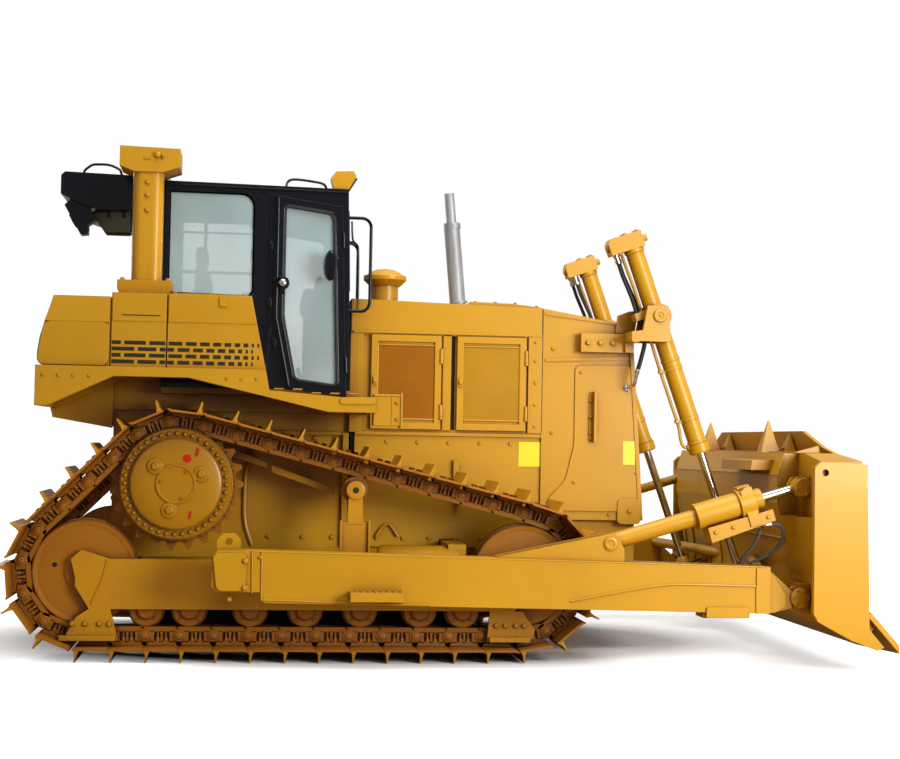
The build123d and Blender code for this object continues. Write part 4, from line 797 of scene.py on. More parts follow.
@dataclass
class Wheels:
    """Sprocket covers, idlers, rollers and track frames: covers, caps, bolts and guards."""

    gauge_half: float = 990.0
    sprocket: tuple[float, float] = (-1729.0, 1122.2)
    idler_z: float = 552.2
    idlers_x: tuple[float, float] = (-2296.0, 534.4)
    roller_z: float = 313.5
    rollers_x: tuple[float, ...] = (-1900.0, -1629.0, -1241.0, -886.0, -531.0, -143.0, 138.0)
    carrier: tuple[float, float] = (-580.0, 1099.5)
    cover_y: float = 1120.0
    rim_bolts: int = 40
    teeth: int = 23
    pin_radius: float = 402.2

    def build(self) -> None:
        """Dress the wheels and frames and add their small parts."""
        dress(["final_drives"], DRIVE_ENAMEL)
        dress(["idlers", "rollers"], TRACK_ENAMEL)
        dress(["track_frames"], CAST_ENAMEL)
        self.sprocket_segments()
        self.roller_guards()
        self.sprocket_cover()
        self.idler_faces()
        self.roller_caps()
        self.frame_bolts()
        log.info("wheels: %d rollers a side", len(self.rollers_x))

    def sprocket_segments(self) -> None:
        """Forged tooth segments bolted round each sprocket, darker than the drive as painted shade under its
        cover.
        """
        form = Form()
        pins, count = self.pin_radius, self.teeth
        outline = [arc(self.sprocket, pins + reach, (tooth + part) * 360 / count, 0, 1)[0]
                   for tooth in range(count)
                   for part, reach in ((-0.10, 26), (0.10, 26), (0.38, -24), (0.62, -24))]
        form.prism(outline, self.gauge_half - 36, self.gauge_half + 36)
        for x, z in circle(self.sprocket, pins - 34, count):
            form.lathe((x, self.gauge_half + 36, z), OUT, [(0, 15), (9, 15), (12, 12)], 6)
        form.mirrored().piece("sprocket_segments", TRACK_ENAMEL)

    def sprocket_cover(self) -> None:
        """Rim bolts, plugs, the domed centre and a red paint mark."""
        x, z = self.sprocket
        face = self.cover_y
        bolts = Form().bolts(face, circle(self.sprocket, 322, self.rim_bolts), 27, 13)
        bolts.bolts(face + 45, circle(self.sprocket, 98, 3, math.degrees(0.9)), 15, 8)
        bolts.mirrored().piece("drive_bolts", DRIVE_ENAMEL)
        dome = Form()
        for rise, profile, sides in ((24, [(0, 288), (4, 286), (12, 270), (16, 180), (18, 118)], 64),
                                     (40, [(0, 130), (9, 126), (9, 114), (3, 108)], 48),
                                     (-30, [(0, 362), (10, 362), (16, 356)], 72)):
            dome.lathe((x, face + rise, z), OUT, profile, sides)
        for angle in (140, 22, 257):
            px, pz = circle(self.sprocket, 172, 1, angle)[0]
            dome.lathe((px, face + 36, pz), OUT, [(0, 52), (10, 50), (12, 44)], 32)
            dome.lathe((px, face + 46, pz), OUT, [(0, 26), (10, 26), (12, 22)], 6)
        dome.mirrored().piece("drive_domes", DRIVE_ENAMEL, smooth_deg=25)
        marks = Form()
        marks.lathe((x + 68, -(face + 41), z + 162), (0, -1, 0), [(0, 26), (3, 24)], 24)
        for stroke in ([(118, 176), (132, 180), (146, 226), (130, 232)],
                       [(84, -220), (98, -216), (104, -176), (92, -172)]):
            marks.sheet([(x + run, -(face + 41), z + rise) for run, rise in stroke], (0, -2, 0))
        marks.piece("inspection_marks", RED_MARK)

    def roller_guards(self) -> None:
        """Guard plates along the inner side of the rollers, near-black as painted shade of the space under
        the machine.
        """
        form = Form()
        form.block((self.rollers_x[0] - 60, self.gauge_half - 128, self.roller_z - 122),
                   (self.rollers_x[-1] + 75, self.gauge_half - 120, self.roller_z + 154))
        form.mirrored().piece("roller_guards", SHADE_BLACK)

    def idler_faces(self) -> None:
        """Dished web, hub and rim of each idler, with its filler hole."""
        form, hole = Form(), Form()
        for x in self.idlers_x:
            face = self.gauge_half + 84
            form.lathe((x, face, self.idler_z), OUT, [(0, 326), (6, 322), (4, 300), (-8, 270), (-8, 150),
                                                      (8, 120), (14, 112), (14, 60)], 64)
            # The filler hole is a dark disc: painted shade inside the hole.
            hole.lathe((x - 185, face - 9, self.idler_z + 44), OUT, [(0, 16), (11, 16)], 20)
        form.mirrored().piece("idler_faces", TRACK_ENAMEL, smooth_deg=25)
        hole.mirrored().piece("idler_holes", SEAL)

    def roller_caps(self) -> None:
        """End collars, cap screws and oil plugs of the rollers."""
        form = Form()
        for x in self.rollers_x:
            face = self.gauge_half + 85
            form.lathe((x, face - 1, self.roller_z), OUT, [(0, 104), (5, 100), (5, 66), (18, 58), (24, 50)],
                       40)
            form.bolts(face + 3, circle((x, self.roller_z), 78, 4, 45), 18, 6)
            form.lathe((x, face + 23, self.roller_z), OUT, [(0, 14), (6, 14)], 6)
        form.mirrored().piece("roller_caps", TRACK_ENAMEL, smooth_deg=25)
        # The carrier post's hole is a dark disc: painted shade inside the hole.
        dark = Form()
        x, z = self.carrier
        dark.lathe((x, self.gauge_half + 186, z), OUT, [(0, 20), (4, 20)], 20)
        dark.mirrored().piece("carrier_holes", SEAL)

    def frame_bolts(self) -> None:
        """Bolts and soles of the link guards, the forks' creases, the carrier posts and recoil housings."""
        form = Form()
        y = self.gauge_half + 140
        rear, front = self.idlers_x
        across = (rear - 60, rear + 20, rear + 110, rear + 170, front - 180, front - 120, front - 50,
                  front + 5)
        form.bolts(y, [(x, 230) for x in across], 30, 14)
        # crease of the rear fork's head, pressed outward
        form.flat_pipe(y + 1, [(-2150, 634), (-2175, 519), (-2245, 354)], 5, 6, 1)
        # carrier post: ribs of its foot, a wide web and the head's ring
        x, z = self.carrier
        for edge in (-98, 84):
            form.block((x + edge, y + 30, 645), (x + edge + 14, y + 48, 905))
        form.prism([(x - 52, 880), (x - 44, z - 20), (x + 44, z - 20), (x + 52, 880)], y - 20, y + 33)
        form.lathe((x, y + 38, z), OUT, [(0, 62), (6, 60), (10, 46), (10, 24)], 32)
        # sole plates of the link guards
        for low, high in ((rear - 140, rear + 210), (front - 225, front + 45)):
            form.block((low, y - 6, 124), (high, y + 34, 156))
        # recoil housing seen over the beam between the idler and the carrier post
        form.lathe((-420, self.gauge_half, 650), AHEAD, [(0, 70), (30, 88), (520, 88), (560, 60)], 28)
        form.mirrored().piece("frame_bolts", CAST_ENAMEL, edge_mm=2)


# ---------------------------------------------------------------- chassis
@dataclass
class Chassis:
    """Hull, engine bay, hood, nose guard, platform and what is bolted to them."""

    body_half: float = 600.0
    bay_half: float = 585.0
    door_half: float = 613.0
    doors: dict[str, tuple[float, float]] = field(
        default_factory=lambda: {"rear": (-457.0, 24.0), "front": (134.0, 614.0)})
    door_z: tuple[float, float] = (1505.0, 2148.0)
    recess: float = 11.0

    def build(self) -> None:
        """Dress the chassis nodes and add their details."""
        dress(["main_frame", "equalizer_bar", "platform", "engine_bay_sides", "hood", "firewall",
               "radiator_guard", "radiator_grille", "drawbar", "precleaner", *both("engine_door_rear"),
               *both("engine_door_front")], ENAMEL)
        dress(["radiator_core", "engine_block"], CORE)
        dress(["exhaust_stack"], HEAT_PAINT)
        self.screens()
        self.hood_panels()
        self.guard_trim()
        self.bay_trim()
        self.hull_trim()
        self.stack_trim()
        log.info("chassis: %d engine doors", 2 * len(self.doors))

    def screens(self) -> None:
        """Punched screens with a pressed frame, a latch and a pull on each engine door."""
        low, high = self.door_z
        for place, (rear, front) in self.doors.items():
            finish = SHADED_REAR_SCREEN if place == "rear" else FRONT_SCREEN
            left = rear + (45 if place == "rear" else 40)
            right = front - (32 if place == "rear" else 45)
            for side in Side:
                body = f"engine_door_{place}_{side.label}"
                face = self.door_half - self.recess
                screen = Form().block((left, face, low + 68), (right, face + 3, high - 68))
                screen.side_piece(side, f"screen_{place}", finish, body)
                trim = Form()
                inner = box(left, low + 68, right, high - 68)
                for start, end in zip(inner, inner[1:] + inner[:1]):
                    trim.rod((start[0], face + 3, start[1]), (end[0], face + 3, end[1]), 6, 8)
                trim.block((rear + 10, self.door_half, 1800), (rear + 40, self.door_half + 7, 1862))
                trim.lathe((rear + 25, self.door_half, 1831), OUT, [(0, 15), (12, 15), (15, 11)], 16)
                trim.side_piece(side, f"door_trim_{place}", ENAMEL, body, edge_mm=2)

    def hood_panels(self) -> None:
        """Raised rear cover of the hood, its seams, rivets and edge lips."""
        form = Form()
        half = self.body_half
        form.prism([(215, 2371), (726, 2358), (726, 2366), (520, 2388), (225, 2395)], -half + 40, half - 40)
        for y in (-half + 60, half - 60):
            for x in (260.0, 400.0, 540.0, 690.0):
                form.bolt((x, y, 2392 - max(0.0, x - 520) * 0.12), UP, 22, 7)
        form.piece("hood_cover", ENAMEL, edge_mm=4)
        lip = Form().block((-598, half - 2, 2158), (727, half + 5, 2172))
        lip.block((-598, half - 2, 2158), (-578, half + 5, 2376))
        lip.mirrored().piece("hood_edges", ENAMEL, edge_mm=2)
        Form().block((724, half - 3, 1500), (731, half + 1.5, 2350)).mirrored().piece("hood_seams", SEAL)

    def guard_trim(self) -> None:
        """Nose guard: side doors' seams, bands, handles, bolts and blank plates."""
        half = self.body_half
        form = Form()
        # the guard's side door: a raised sheet with its front edge behind the seam
        door = rounded([(958, 1968), (1352, 1976), (1404, 1290), (1418, 962), (770, 962), (772, 1034),
                        (900, 1174), (958, 1420)], 40)
        form.prism(door, half - 1, half + 9)
        form.prism([(745, 1990), (1372, 2012), (1365, 2040), (745, 2012)], half - 1, half + 5)
        form.prism([(1333, 2196), (1362, 2196), (1444, 1000), (1440, 930), (1414, 930), (1414, 1000)],
                   half - 1, half + 14)
        form.prism([(745, 2330), (1040, 2296), (1300, 2262), (1296, 2248), (1040, 2280), (745, 2314)],
                   half - 1, half + 6)
        form.bolts(half, ((800, 2080), (800, 1500), (1210, 940)), 20, 7)
        form.bolts(half + 9, ((1000, 1920), (960, 1160), (1400, 1230)), 18, 6)
        form.prism(rounded(box(1268, 875, 1433, 1050), 34), half + 1, half + 16)
        form.bolt((1352, half + 16, 965), OUT, 26, 10)
        form.mirrored().piece("guard_doors", ENAMEL, edge_mm=3)
        grip = Form()
        grip.prism(rounded(box(1058, 1450, 1106, 1784), 20), half + 8, half + 16)
        grip.block((1086, half + 14, 1440), (1104, half + 62, 1788))
        grip.bolts(half + 16, [(1068, z) for z in (1500, 1612, 1724)], 20, 8)
        grip.mirrored().piece("guard_handles", ENAMEL, edge_mm=4)
        brow = Form()
        brow.prism([(1275, 2262), (1346, 2196), (1352, 2204), (1281, 2272)], -half, half)
        for y in range(-500, 501, 125):
            brow.bolt((1310, y, 2236), (0.68, 0, 0.73), 24, 8)
        brow.piece("guard_brow", ENAMEL, edge_mm=3)
        plates = Form()
        plates.prism(rounded(box(574, 1262, 748, 1432), 8), self.bay_half, self.bay_half + 2)
        plates.prism(rounded(box(1303, 1286, 1390, 1450), 8), half + 9, half + 11)
        plates.mirrored().piece("blank_plates", PLATE_VINYL)

    def bay_trim(self) -> None:
        """Posts, hinge strips and the bolt row of the engine bay's side walls."""
        form = Form()
        wall = self.bay_half
        for x0, x1, proud, z0, z1 in ((630, 726, 17, 1490, 2164), (-560, -512, 15, 1480, 2164),
                                      (36, 94, 12, 1500, 2164), (-512, 726, 12, 2150, 2164),
                                      (-560, 726, 14, 1462, 1486)):
            form.block((x0, wall, z0), (x1, wall + proud, z1))
        form.bolts(wall, [(x, 1416) for x in (-342, -130, 85, 301, 513)], 20, 7)
        form.bolts(wall + 17, [(678, z) for z in (1540, 1690, 1840, 1990, 2120)], 16, 5)
        form.mirrored().piece("bay_frames", ENAMEL, edge_mm=3)
        # A near-black strip in the gap beside the front door: painted shade in the gap.
        Form().block((97, wall - 1, 1505), (120, wall + 1.5, 2150)).mirrored().piece("bay_gaps", SHADE_BLACK)

    def hull_trim(self) -> None:
        """Rounded hull seams, slide plates over the frames, brackets and belly bolts."""
        form = Form()
        case = 560.0
        form.pipe([(-1200, case, 1470), (-1262, case + 4, 1290), (-1290, case + 6, 1180),
                   (-1296, case + 6, 980), (-1285, case + 6, 840), (-1240, case + 4, 700)], 15, 8)
        form.block((-1180, case, 1455), (-610, case + 22, 1475))
        form.block((-640, case, 700), (-600, case + 30, 1470))
        form.flat_pipe(case + 40, [(-404, 767), (-371, 821), (-338, 850), (-311, 851), (-282, 816),
                                   (-254, 772)], 9, 8, 3)
        form.prism([(120, 1000), (160, 1000), (160, 1280), (120, 1300)], case + 24, case + 52)
        form.bolts(case, ((-1130, 1430), (-980, 1430), (-830, 1430), (-690, 1430), (-1130, 760), (-700, 760),
                          (-900, 760)), 28, 10)
        form.bolts(self.bay_half, [(x, 760) for x in range(-400, 700, 180)], 24, 9)
        form.mirrored().piece("hull_ribs", ENAMEL, edge_mm=3)
        # curved guards that keep the upper run off the hull
        slide = Form()
        slide.prism([(-1385, 1352), (-1150, 1268), (-1150, 1228), (-1385, 1300)], 700, 800)
        slide.prism([(-1120, 1250), (-700, 1100), (-700, 1056), (-1120, 1200)], 700, 800)
        slide.block((-1300, case - 5, 1280), (-1240, 705, 1320))
        slide.block((-960, case - 5, 1130), (-900, 705, 1170))
        slide.mirrored().piece("slide_plates", ENAMEL, edge_mm=3)
        under = Form()
        for x in (-1700, -1100, -500, 100, 700):
            under.block((x, -480, 396), (x + 520, 480, 404))
            for bx in (x + 60, x + 460):
                for y in (-420, -140, 140, 420):
                    under.bolt((bx, y, 397), (0, 0, -1), 30, 9)
        under.piece("belly_plates", ENAMEL, edge_mm=2)

    def stack_trim(self) -> None:
        """Collar, slip joint and clamp of the exhaust stack, ribs of the pre-cleaner."""
        low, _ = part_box("exhaust_stack")
        lean = Vector((-0.097, 0, 1)).normalized()
        foot = Vector((210, 0, low.z * 1000 + 60))
        joint = foot + Vector((-0.097, 0, 1)) * (3010 - foot.z)
        tip = foot + Vector((-0.097, 0, 1)) * (3224 - foot.z)
        form = Form()
        form.lathe(foot, lean, [(0, 66), (12, 66), (16, 60), (16, 57)], 40)
        form.lathe(joint - lean * 40, lean, [(0, 58.5), (34, 58.5), (40, 52), (44, 38)], 40)
        form.piece("stack_collars", HEAT_PAINT)
        Form().lathe(tip - lean, lean, [(0, 30), (2.5, 30)], 32).piece("stack_bore", SEAL)
        cap = Form()
        x = -328.0
        cap.lathe((x, 0, 2575), UP, [(0, 152), (5, 154), (30, 154), (36, 151)], 56)
        for across, along in circle((0, 0), 1, 18):
            out = Vector((across, along, 0))
            cap.sheet([Vector((x, 0, z)) + out * reach for z,
                       reach in ((2540, 98), (2540, 114), (2574, 148), (2574, 98))],
                      (-4 * along, 4 * across, 0))
        cap.lathe((x, 0, 2400), UP, [(0, 118), (12, 118), (16, 110), (16, 98)], 48)
        cap.lathe((x, 0, 2648), UP, [(0, 24), (10, 24), (14, 18)], 6)
        cap.piece("cleaner_trim", ENAMEL, smooth_deg=25)


# ---------------------------------------------------------------- rear body
@dataclass
class RearBody:
    """Tank, service boxes, fenders and safety frame, with stripes and fasteners."""

    box_out: float = 1200.0
    fender_out: float = 1250.0
    box_high: float = 2334.0
    post_x: tuple[float, float] = (-2062.0, -1865.0)
    post_out: float = 1000.0
    stripe_rows: tuple[float, ...] = (2016.0, 1976.0, 1936.0, 1895.0)
    long_bars: tuple[float, ...] = (142.0, 116.0, 90.0, 75.0, 62.0, 51.0, 47.0, 37.0, 26.0, 14.0, 10.0)
    short_bars: tuple[float, ...] = (57.0, 134.0, 100.0, 85.0, 69.0, 60.0, 50.0, 43.0, 34.0, 30.0, 14.0, 12.0)

    def build(self) -> None:
        """Dress the rear body and add its details."""
        dress(["fenders", "fuel_tank", "service_boxes", "rops"], ENAMEL)
        self.stripes()
        self.box_trim()
        self.frame_trim()
        self.fender_trim()
        self.tail()
        log.info("rear body: %d stripe rows", len(self.stripe_rows))

    def stripes(self) -> None:
        """Rows of dark bars that shrink towards the front, as cut from vinyl."""
        form = Form()
        face = self.box_out
        for row, z in enumerate(self.stripe_rows):
            x = -2150.0
            for length in self.long_bars if row % 2 else self.short_bars:
                low, high = x, x + length
                if low < -1806 < high:
                    form.block((low, face, z - 12), (-1812, face + 1, z + 12))
                    low = -1800.0
                form.block((low, face, z - 12), (high, face + 1, z + 12))
                x = high + 22
        form.mirrored().piece("stripe_bars", BRICK_VINYL)

    def box_trim(self) -> None:
        """Creases, seams, lids and catches of the boxes and the tank."""
        face = self.box_out
        form = Form()
        # upper panels stand a little proud above a crease
        form.prism([(-2150, 2152), (-1813, 2152), (-1813, 2330), (-2150, 2330)], face - 1, face + 3)
        form.prism([(-1799, 2152), (-1237, 2152), (-1277, 2330), (-1799, 2330)], face - 1, face + 3)
        # the tank's end panel: lower face upright, upper face leaning in
        low_part = rounded([(-2606, 1950), (-2570, 2141), (-2168, 2141), (-2168, 1866), (-2606, 1866)], 46, 5)
        form.prism(low_part, face - 1, face + 14)
        form.skin([form.loop([(-2570, face + foot, 2141), (-2168, face + foot, 2141),
                              (-2176, face + head, 2300), (-2517, face + head, 2300)]) for foot,
                   head in ((14, 3), (-1, -1))])
        form.mirrored().piece("box_panels", ENAMEL, edge_mm=3)
        lids = Form()
        lids.block((-1780, 790, self.box_high - 2), (-1300, 1180, self.box_high + 8))
        for x in (-1760.0, -1540.0, -1330.0):
            lids.bolt((x, 1150, self.box_high + 8), UP, 20, 8)
        lids.block((-1480, 1196, 2260), (-1430, 1210, 2320))
        lids.mirrored().piece("box_lids", ENAMEL, edge_mm=3)
        Form().block((-2092, face + 2, 2188), (-1853, face + 4.5, 2194)).mirrored().piece("box_grooves", SEAL)
        cap = Form()
        cap.lathe((-2380, 620, 2308), UP, [(0, 78), (14, 78), (18, 70), (44, 66), (50, 58)], 40)
        for x, y in circle((-2380, 620), 66, 12):
            cap.rod((x, y, 2326), (x, y, 2350), 6, 6)
        cap.piece("tank_cap", SEAL)

    def frame_trim(self) -> None:
        """Bolts, pads, seams and the lifting lug of the safety frame."""
        form = Form()
        out = self.post_out
        middle = sum(self.post_x) / 2
        form.bolts(out, [(middle, z) for z in (3075, 2990, 2893)], 26, 11)
        form.lathe((-1903, out + 10, 3253), OUT, [(0, 18), (20, 18), (24, 13)], 20)
        form.prism([(-1990, 3222), (-1950, 3226), (-1950, 3238), (-1990, 3234)], out + 9, out + 16)
        form.rod((-1872, out + 10, 3230), (-1868, out + 26, 3252), 7, 10)
        low = self.box_high
        for x in (self.post_x[0] - 50, self.post_x[1] + 42):
            for y in (out - 160, out - 20):
                form.bolt((x, y, low + 100), UP, 30, 14)
        for x in (-2100.0, -1800.0):
            form.block((x - 14, 810, low - 6), (x + 14, 990, low + 3))
        form.mirrored().piece("frame_fasteners", ENAMEL, edge_mm=2)
        welds = Form()
        for y in (out - 1, 689):
            welds.flat_pipe(y, [(self.post_x[0] + 62, 3142), (middle, 3143), (self.post_x[1] - 62, 3142)],
                            5, 6, 2)
        welds.mirrored().piece("frame_welds", CAST_ENAMEL)

    def fender_trim(self) -> None:
        """Bolt rows, arch lips, the running board and its front bracket."""
        out = self.fender_out
        form = Form()
        form.bolts(out, [(x, 1797) for x in (-2567, -2472, -2380, -2281)], 17, 5)
        form.bolts(out, [(x, 1799) for x in (-1421, -1329, -1233)], 17, 5)
        lip = [(-2612, 1612), (-2540, 1612), (-2132, 1806), (-1662, 1806), (-772, 1606), (-476, 1606)]
        for start, end in zip(lip, lip[1:]):
            form.rod((start[0], out - 12, start[1]), (end[0], out - 12, end[1]), 9, 8)
        form.prism(rounded([(-700, 1650), (-470, 1655), (-470, 1700), (-700, 1694)], 20), out - 4, out + 7)
        # flange at the front end of the bracket, its rim and two screws
        form.block((-306, out - 196, 1506), (-293, out - 14, 1732))
        form.block((-480, out - 196, 1708), (-300, out - 16, 1722))
        form.block((-366, out - 26, 1519), (-360, out - 17, 1708))
        form.bolts(out - 20, ((-330, 1560), (-330, 1668)), 20, 8)
        for x, z in ((-1120, 1738), (-1000, 1738), (-880, 1716), (-760, 1716), (-640, 1716)):
            form.block((x, 1060, z), (x + 60, 1225, z + 8))
        # inner skirt below the fender's rear
        form.prism([(-2593, 1640), (-2593, 1612), (-2576, 1540), (-2215, 1480), (-2182, 1474), (-2182, 1800),
                    (-2220, 1800)], 606, 618)
        form.mirrored().piece("fender_trim", ENAMEL, edge_mm=2)

    def tail(self) -> None:
        """Rear face: hatch, tail lamps, hitch plate and bolts that close the back."""
        form = Form()
        form.prism(box(-2186, 760, -2178, 1440), -430, 430)
        for z in (800.0, 1000.0, 1200.0, 1400.0):
            for y in (-390.0, 390.0):
                form.bolt((-2186, y, z), BACK, 32, 12)
        form.prism(box(-2192, 560, -2176, 720), -190, 190)
        for y in (-150.0, 150.0):
            for z in (590.0, 690.0):
                form.bolt((-2192, y, z), BACK, 34, 14)
        form.prism([(-2616, 1960), (-2604, 1960), (-2573, 2110), (-2585, 2110)], -420, 420)
        form.piece("rear_hatch", ENAMEL, edge_mm=3)
        Form().block((-2626, 960, 1740), (-2612, 1080, 1800)).mirrored().piece("tail_lamps", RED_MARK,
                                                                               edge_mm=4)


# ---------------------------------------------------------------- cab
@dataclass
class Cushion:
    """Upholstered block of foam: a crowned box with a welt round its edge."""

    name: str
    low: Point
    high: Point
    crown: float = 26.0
    cells: int = 10
    fill: float = 0.8

    def build(self, tilt_deg: float = 0.0) -> bpy.types.Object:
        """Model the cushion.

        Args:
            tilt_deg: Lean about the axis along Y through the lower rear edge.

        Returns:
            The cushion.
        """
        low, high = Vector(self.low), Vector(self.high)
        middle, half = (low + high) / 2, (high - low) / 2
        mesh = bmesh.new()
        bmesh.ops.create_cube(mesh, size=2.0)
        bmesh.ops.subdivide_edges(mesh, edges=mesh.edges[:], cuts=self.cells, use_grid_fill=True)
        pivot = Vector((low.x, 0, low.z))
        turn = Matrix.Rotation(math.radians(tilt_deg), 3, "Y")
        for vert in mesh.verts:
            unit = vert.co.copy()
            # a cushion is fullest in the middle of a face and draws in along its welts
            share = Vector((math.cos(unit.x * math.pi / 2), math.cos(unit.y * math.pi / 2),
                            math.cos(unit.z * math.pi / 2)))
            bulge = Vector((unit.x * share.y * share.z, unit.y * share.x * share.z,
                            unit.z * share.x * share.y))
            soft = unit * (1 - 0.055 * max(0.0, unit.length - 1.05) ** 2 / 0.46)
            place_at = Vector((soft.x * half.x, soft.y * half.y, soft.z * half.z)) * 0.94 + bulge * self.crown
            # sewn channels across the face
            channel = 0.5 + 0.5 * math.cos(unit.y * math.pi * 3)
            place_at -= bulge * (1 - channel) * self.crown * 0.32
            vert.co = (pivot + turn @ (middle + place_at - pivot)) * MM
        data = bpy.data.meshes.new(self.name)
        mesh.to_mesh(data)
        mesh.free()
        data.shade_smooth()
        data.materials.append(CLOTH.material())
        cushion = placed(self.name, data)
        fine = cushion.modifiers.new("smooth", "SUBSURF")
        fine.levels = fine.render_levels = 1
        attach(cushion, Body.MACHINE)
        return cushion


@dataclass
class Cab:
    """Cab shell with its seals, doors' fittings, rails, lamps and inside."""

    half: float = 750.0
    door_half: float = 790.0
    front_low: tuple[float, float] = (-607.0, 1712.0)
    front_high: tuple[float, float] = (-642.0, 3115.0)
    window: tuple[float, float, float, float] = (-1832.0, -1268.0, 2380.0, 3062.0)
    door: tuple[Point, ...] = ((-634.0, 1715.0), (-680.0, 2990.0), (-1125.0, 3050.0), (-1125.0, 2230.0),
                               (-1030.0, 1765.0))
    floor_z: float = 1752.0

    def build(self) -> None:
        """Dress the cab's nodes and add its fittings."""
        dress(["cab_front", "cab_rear", "cab_sides", "cab_roof", "roof_box", "grab_rails", "rear_lamp",
               *both("cab_door")], LACQUER)
        dress(["cab_glass", *both("door_glass")], GLASS)
        dress(["work_lamps"], ENAMEL)
        # The cab floor's underside takes the darker casting enamel as painted shade.
        dress(["cab_floor"], CAST_ENAMEL)
        dress(["console"], TRIM)
        self.window_seals()
        self.sliding_window()
        for side in Side:
            self.door_fittings(side)
        self.outside()
        self.lamps()
        self.roof_unit()
        self.seat()
        self.controls()
        log.info("cab: two doors, seat and controls")

    def front_x(self, z: float) -> float:
        """Outer face of the front wall at one height."""
        (x0, z0), (x1, z1) = self.front_low, self.front_high
        return x0 + (z - z0) / (z1 - z0) * (x1 - x0)

    def window_seals(self) -> None:
        """Rounded corners of the side windows and rubber round every pane."""
        rear, front, low, high = self.window
        corner = Form()
        radius = 88.0
        centre = (front - radius, high - radius)
        corner.prism([(front, high)] + arc(centre, radius, 90, 0, 8), self.half - 34, self.half)
        centre = (front - 34, low + 34)
        corner.prism([(front, low)] + arc(centre, 34, 0, -90, 5), self.half - 34, self.half)
        corner.mirrored().piece("window_corners", LACQUER)
        seals = Form()
        outline = [(rear, low), (front - 34, low)] + arc(centre, 34, -90, 0, 4) + arc(
            (front - radius, high - radius), radius, 0, 90, 8) + [(rear, high)]
        seals.hoop(self.half - 6, outline, 11)
        seals.mirrored().piece("side_seals", SEAL)
        ends = Form()
        wide = 610.0
        for x0, z0, x1, z1 in ((self.front_x(2440) + 1, 2440, self.front_x(2980) + 1, 2980),
                               (-1866, 2420, -1866, 2900)):
            ends.bead([Vector((x0, -wide, z0)), Vector((x0, wide, z0)), Vector((x1, wide, z1)),
                       Vector((x1, -wide, z1))], 12)
        ends.piece("end_seals", SEAL)
        # wiper arms and their pivots on the front wall, and one on the rear wall
        front_trim = Form()
        for y in (-430.0, 430.0):
            front_trim.rod((self.front_x(2400) + 6, y, 2400), (self.front_x(2900) + 10, y * 0.35, 2890), 7, 8)
            front_trim.lathe((self.front_x(2400) - 2, y, 2400), AHEAD, [(0, 30), (16, 28), (20, 16)], 20)
        front_trim.lathe((-1863, 0, 2400), BACK, [(0, 30), (16, 28), (20, 16)], 20)
        front_trim.rod((-1872, 0, 2400), (-1874, 260, 2820), 7, 8)
        front_trim.piece("wiper_arms", SEAL)

    def sliding_window(self) -> None:
        """Bars of the left window, which slides in two halves over a fixed pane."""
        rear, front, low, high = self.window
        form = Form()
        y0, y1 = self.half - 32, self.half - 8
        for x0, x1, z0, z1 in ((-1652, -1626, low, high), (rear, front, 2662, 2684),
                               (rear, front - 6, 2968, 2982)):
            form.block((x0, y0, z0), (x1, y1, z1))
        form.block((-1300, y0 - 14, 2790), (-1286, y1, 2850))
        form.piece("sliding_frame", LACQUER, edge_mm=3)

    def door_fittings(self, side: Side) -> None:
        """Gutter, seals, latch, catches and mirror of one door.

        Args:
            side: Side of the door.
        """
        body = f"cab_door_{side.label}"
        face = self.door_half
        outline = self.door
        seal = Form().hoop(face - 2, rounded(self.inset(outline, 60.0), 36), 9)
        seal.hoop(face - 24, rounded(self.inset(outline, 8.0), 20, 3), 8)
        seal.side_piece(side, "door_seals", SEAL, body)
        form = Form()
        edge = self.inset(outline, 14.0)
        for start, end in ((2, 3), (3, 4)):
            form.rod((edge[start][0], face + 3, edge[start][1]), (edge[end][0], face + 3, edge[end][1]), 6, 8)
        form.hoop(face + 1, rounded(self.inset(outline, 50.0), 36), 5)
        # fillers that round the corners of the pane
        pane = [Vector(p) for p in self.inset(outline, 55.0)]
        for index, corner in enumerate(pane):
            curve = softened(pane[index - 1], corner, pane[(index + 1) % len(pane)], 42, 4)
            form.prism([tuple(spot) for spot in [corner] + curve], face - 30, face - 1)
        # pull and lock by the rear edge
        form.lathe((-1075, face, 2463), OUT, [(0, 46), (10, 46), (14, 42), (14, 34), (22, 30), (34, 28)], 36)
        form.block((-1142, face - 4, 2474), (-1078, face + 14, 2500))
        form.prism([(-1086, 2440), (-1064, 2440), (-1058, 2390), (-1092, 2390)], face + 6, face + 22)
        form.side_piece(side, "door_latch", LACQUER, body, edge_mm=2)
        catch = Form()
        for z in (2710.0, 2330.0, 2066.0):
            x = -1156.0 if z > 2230 else -1120.0
            catch.block((x - 18, self.half, z - 26), (x + 12, self.half + 30, z + 26))
            catch.lathe((x - 2, self.half + 16, z - 34), UP, [(0, 10), (68, 10)], 12)
        catch.side_piece(side, "door_catches", LACQUER, edge_mm=3)
        knob = Form()
        knob.lathe((-1075, face + 33, 2463), OUT, [(0, 26), (4, 26), (12, 18), (14, 8)], 24)
        knob.rod((-712, face - 6, 2540), (-742, face + 74, 2566), 8, 10)
        knob.rod((-708, face - 6, 2646), (-742, face + 74, 2624), 8, 10)
        knob.lathe((-742, face + 74, 2556), UP, [(0, 11), (78, 11)], 12)
        knob.side_piece(side, "door_chrome", CHROME, body, smooth_deg=50)
        mirror = Form()
        mirror.skin([mirror.loop((-764 + 44 * scale * x + shift, y, 2580 + 103 * scale * z)
                                 for x, z in circle((0, 0), 1, 24))
                     for y, scale, shift in ((face + 52, 0.96, 0), (face + 64, 1.0, 0), (face + 118, 1.0, 4),
                                             (face + 140, 0.80, 6))])
        mirror.side_piece(side, "door_mirror", LACQUER, body, edge_mm=3)

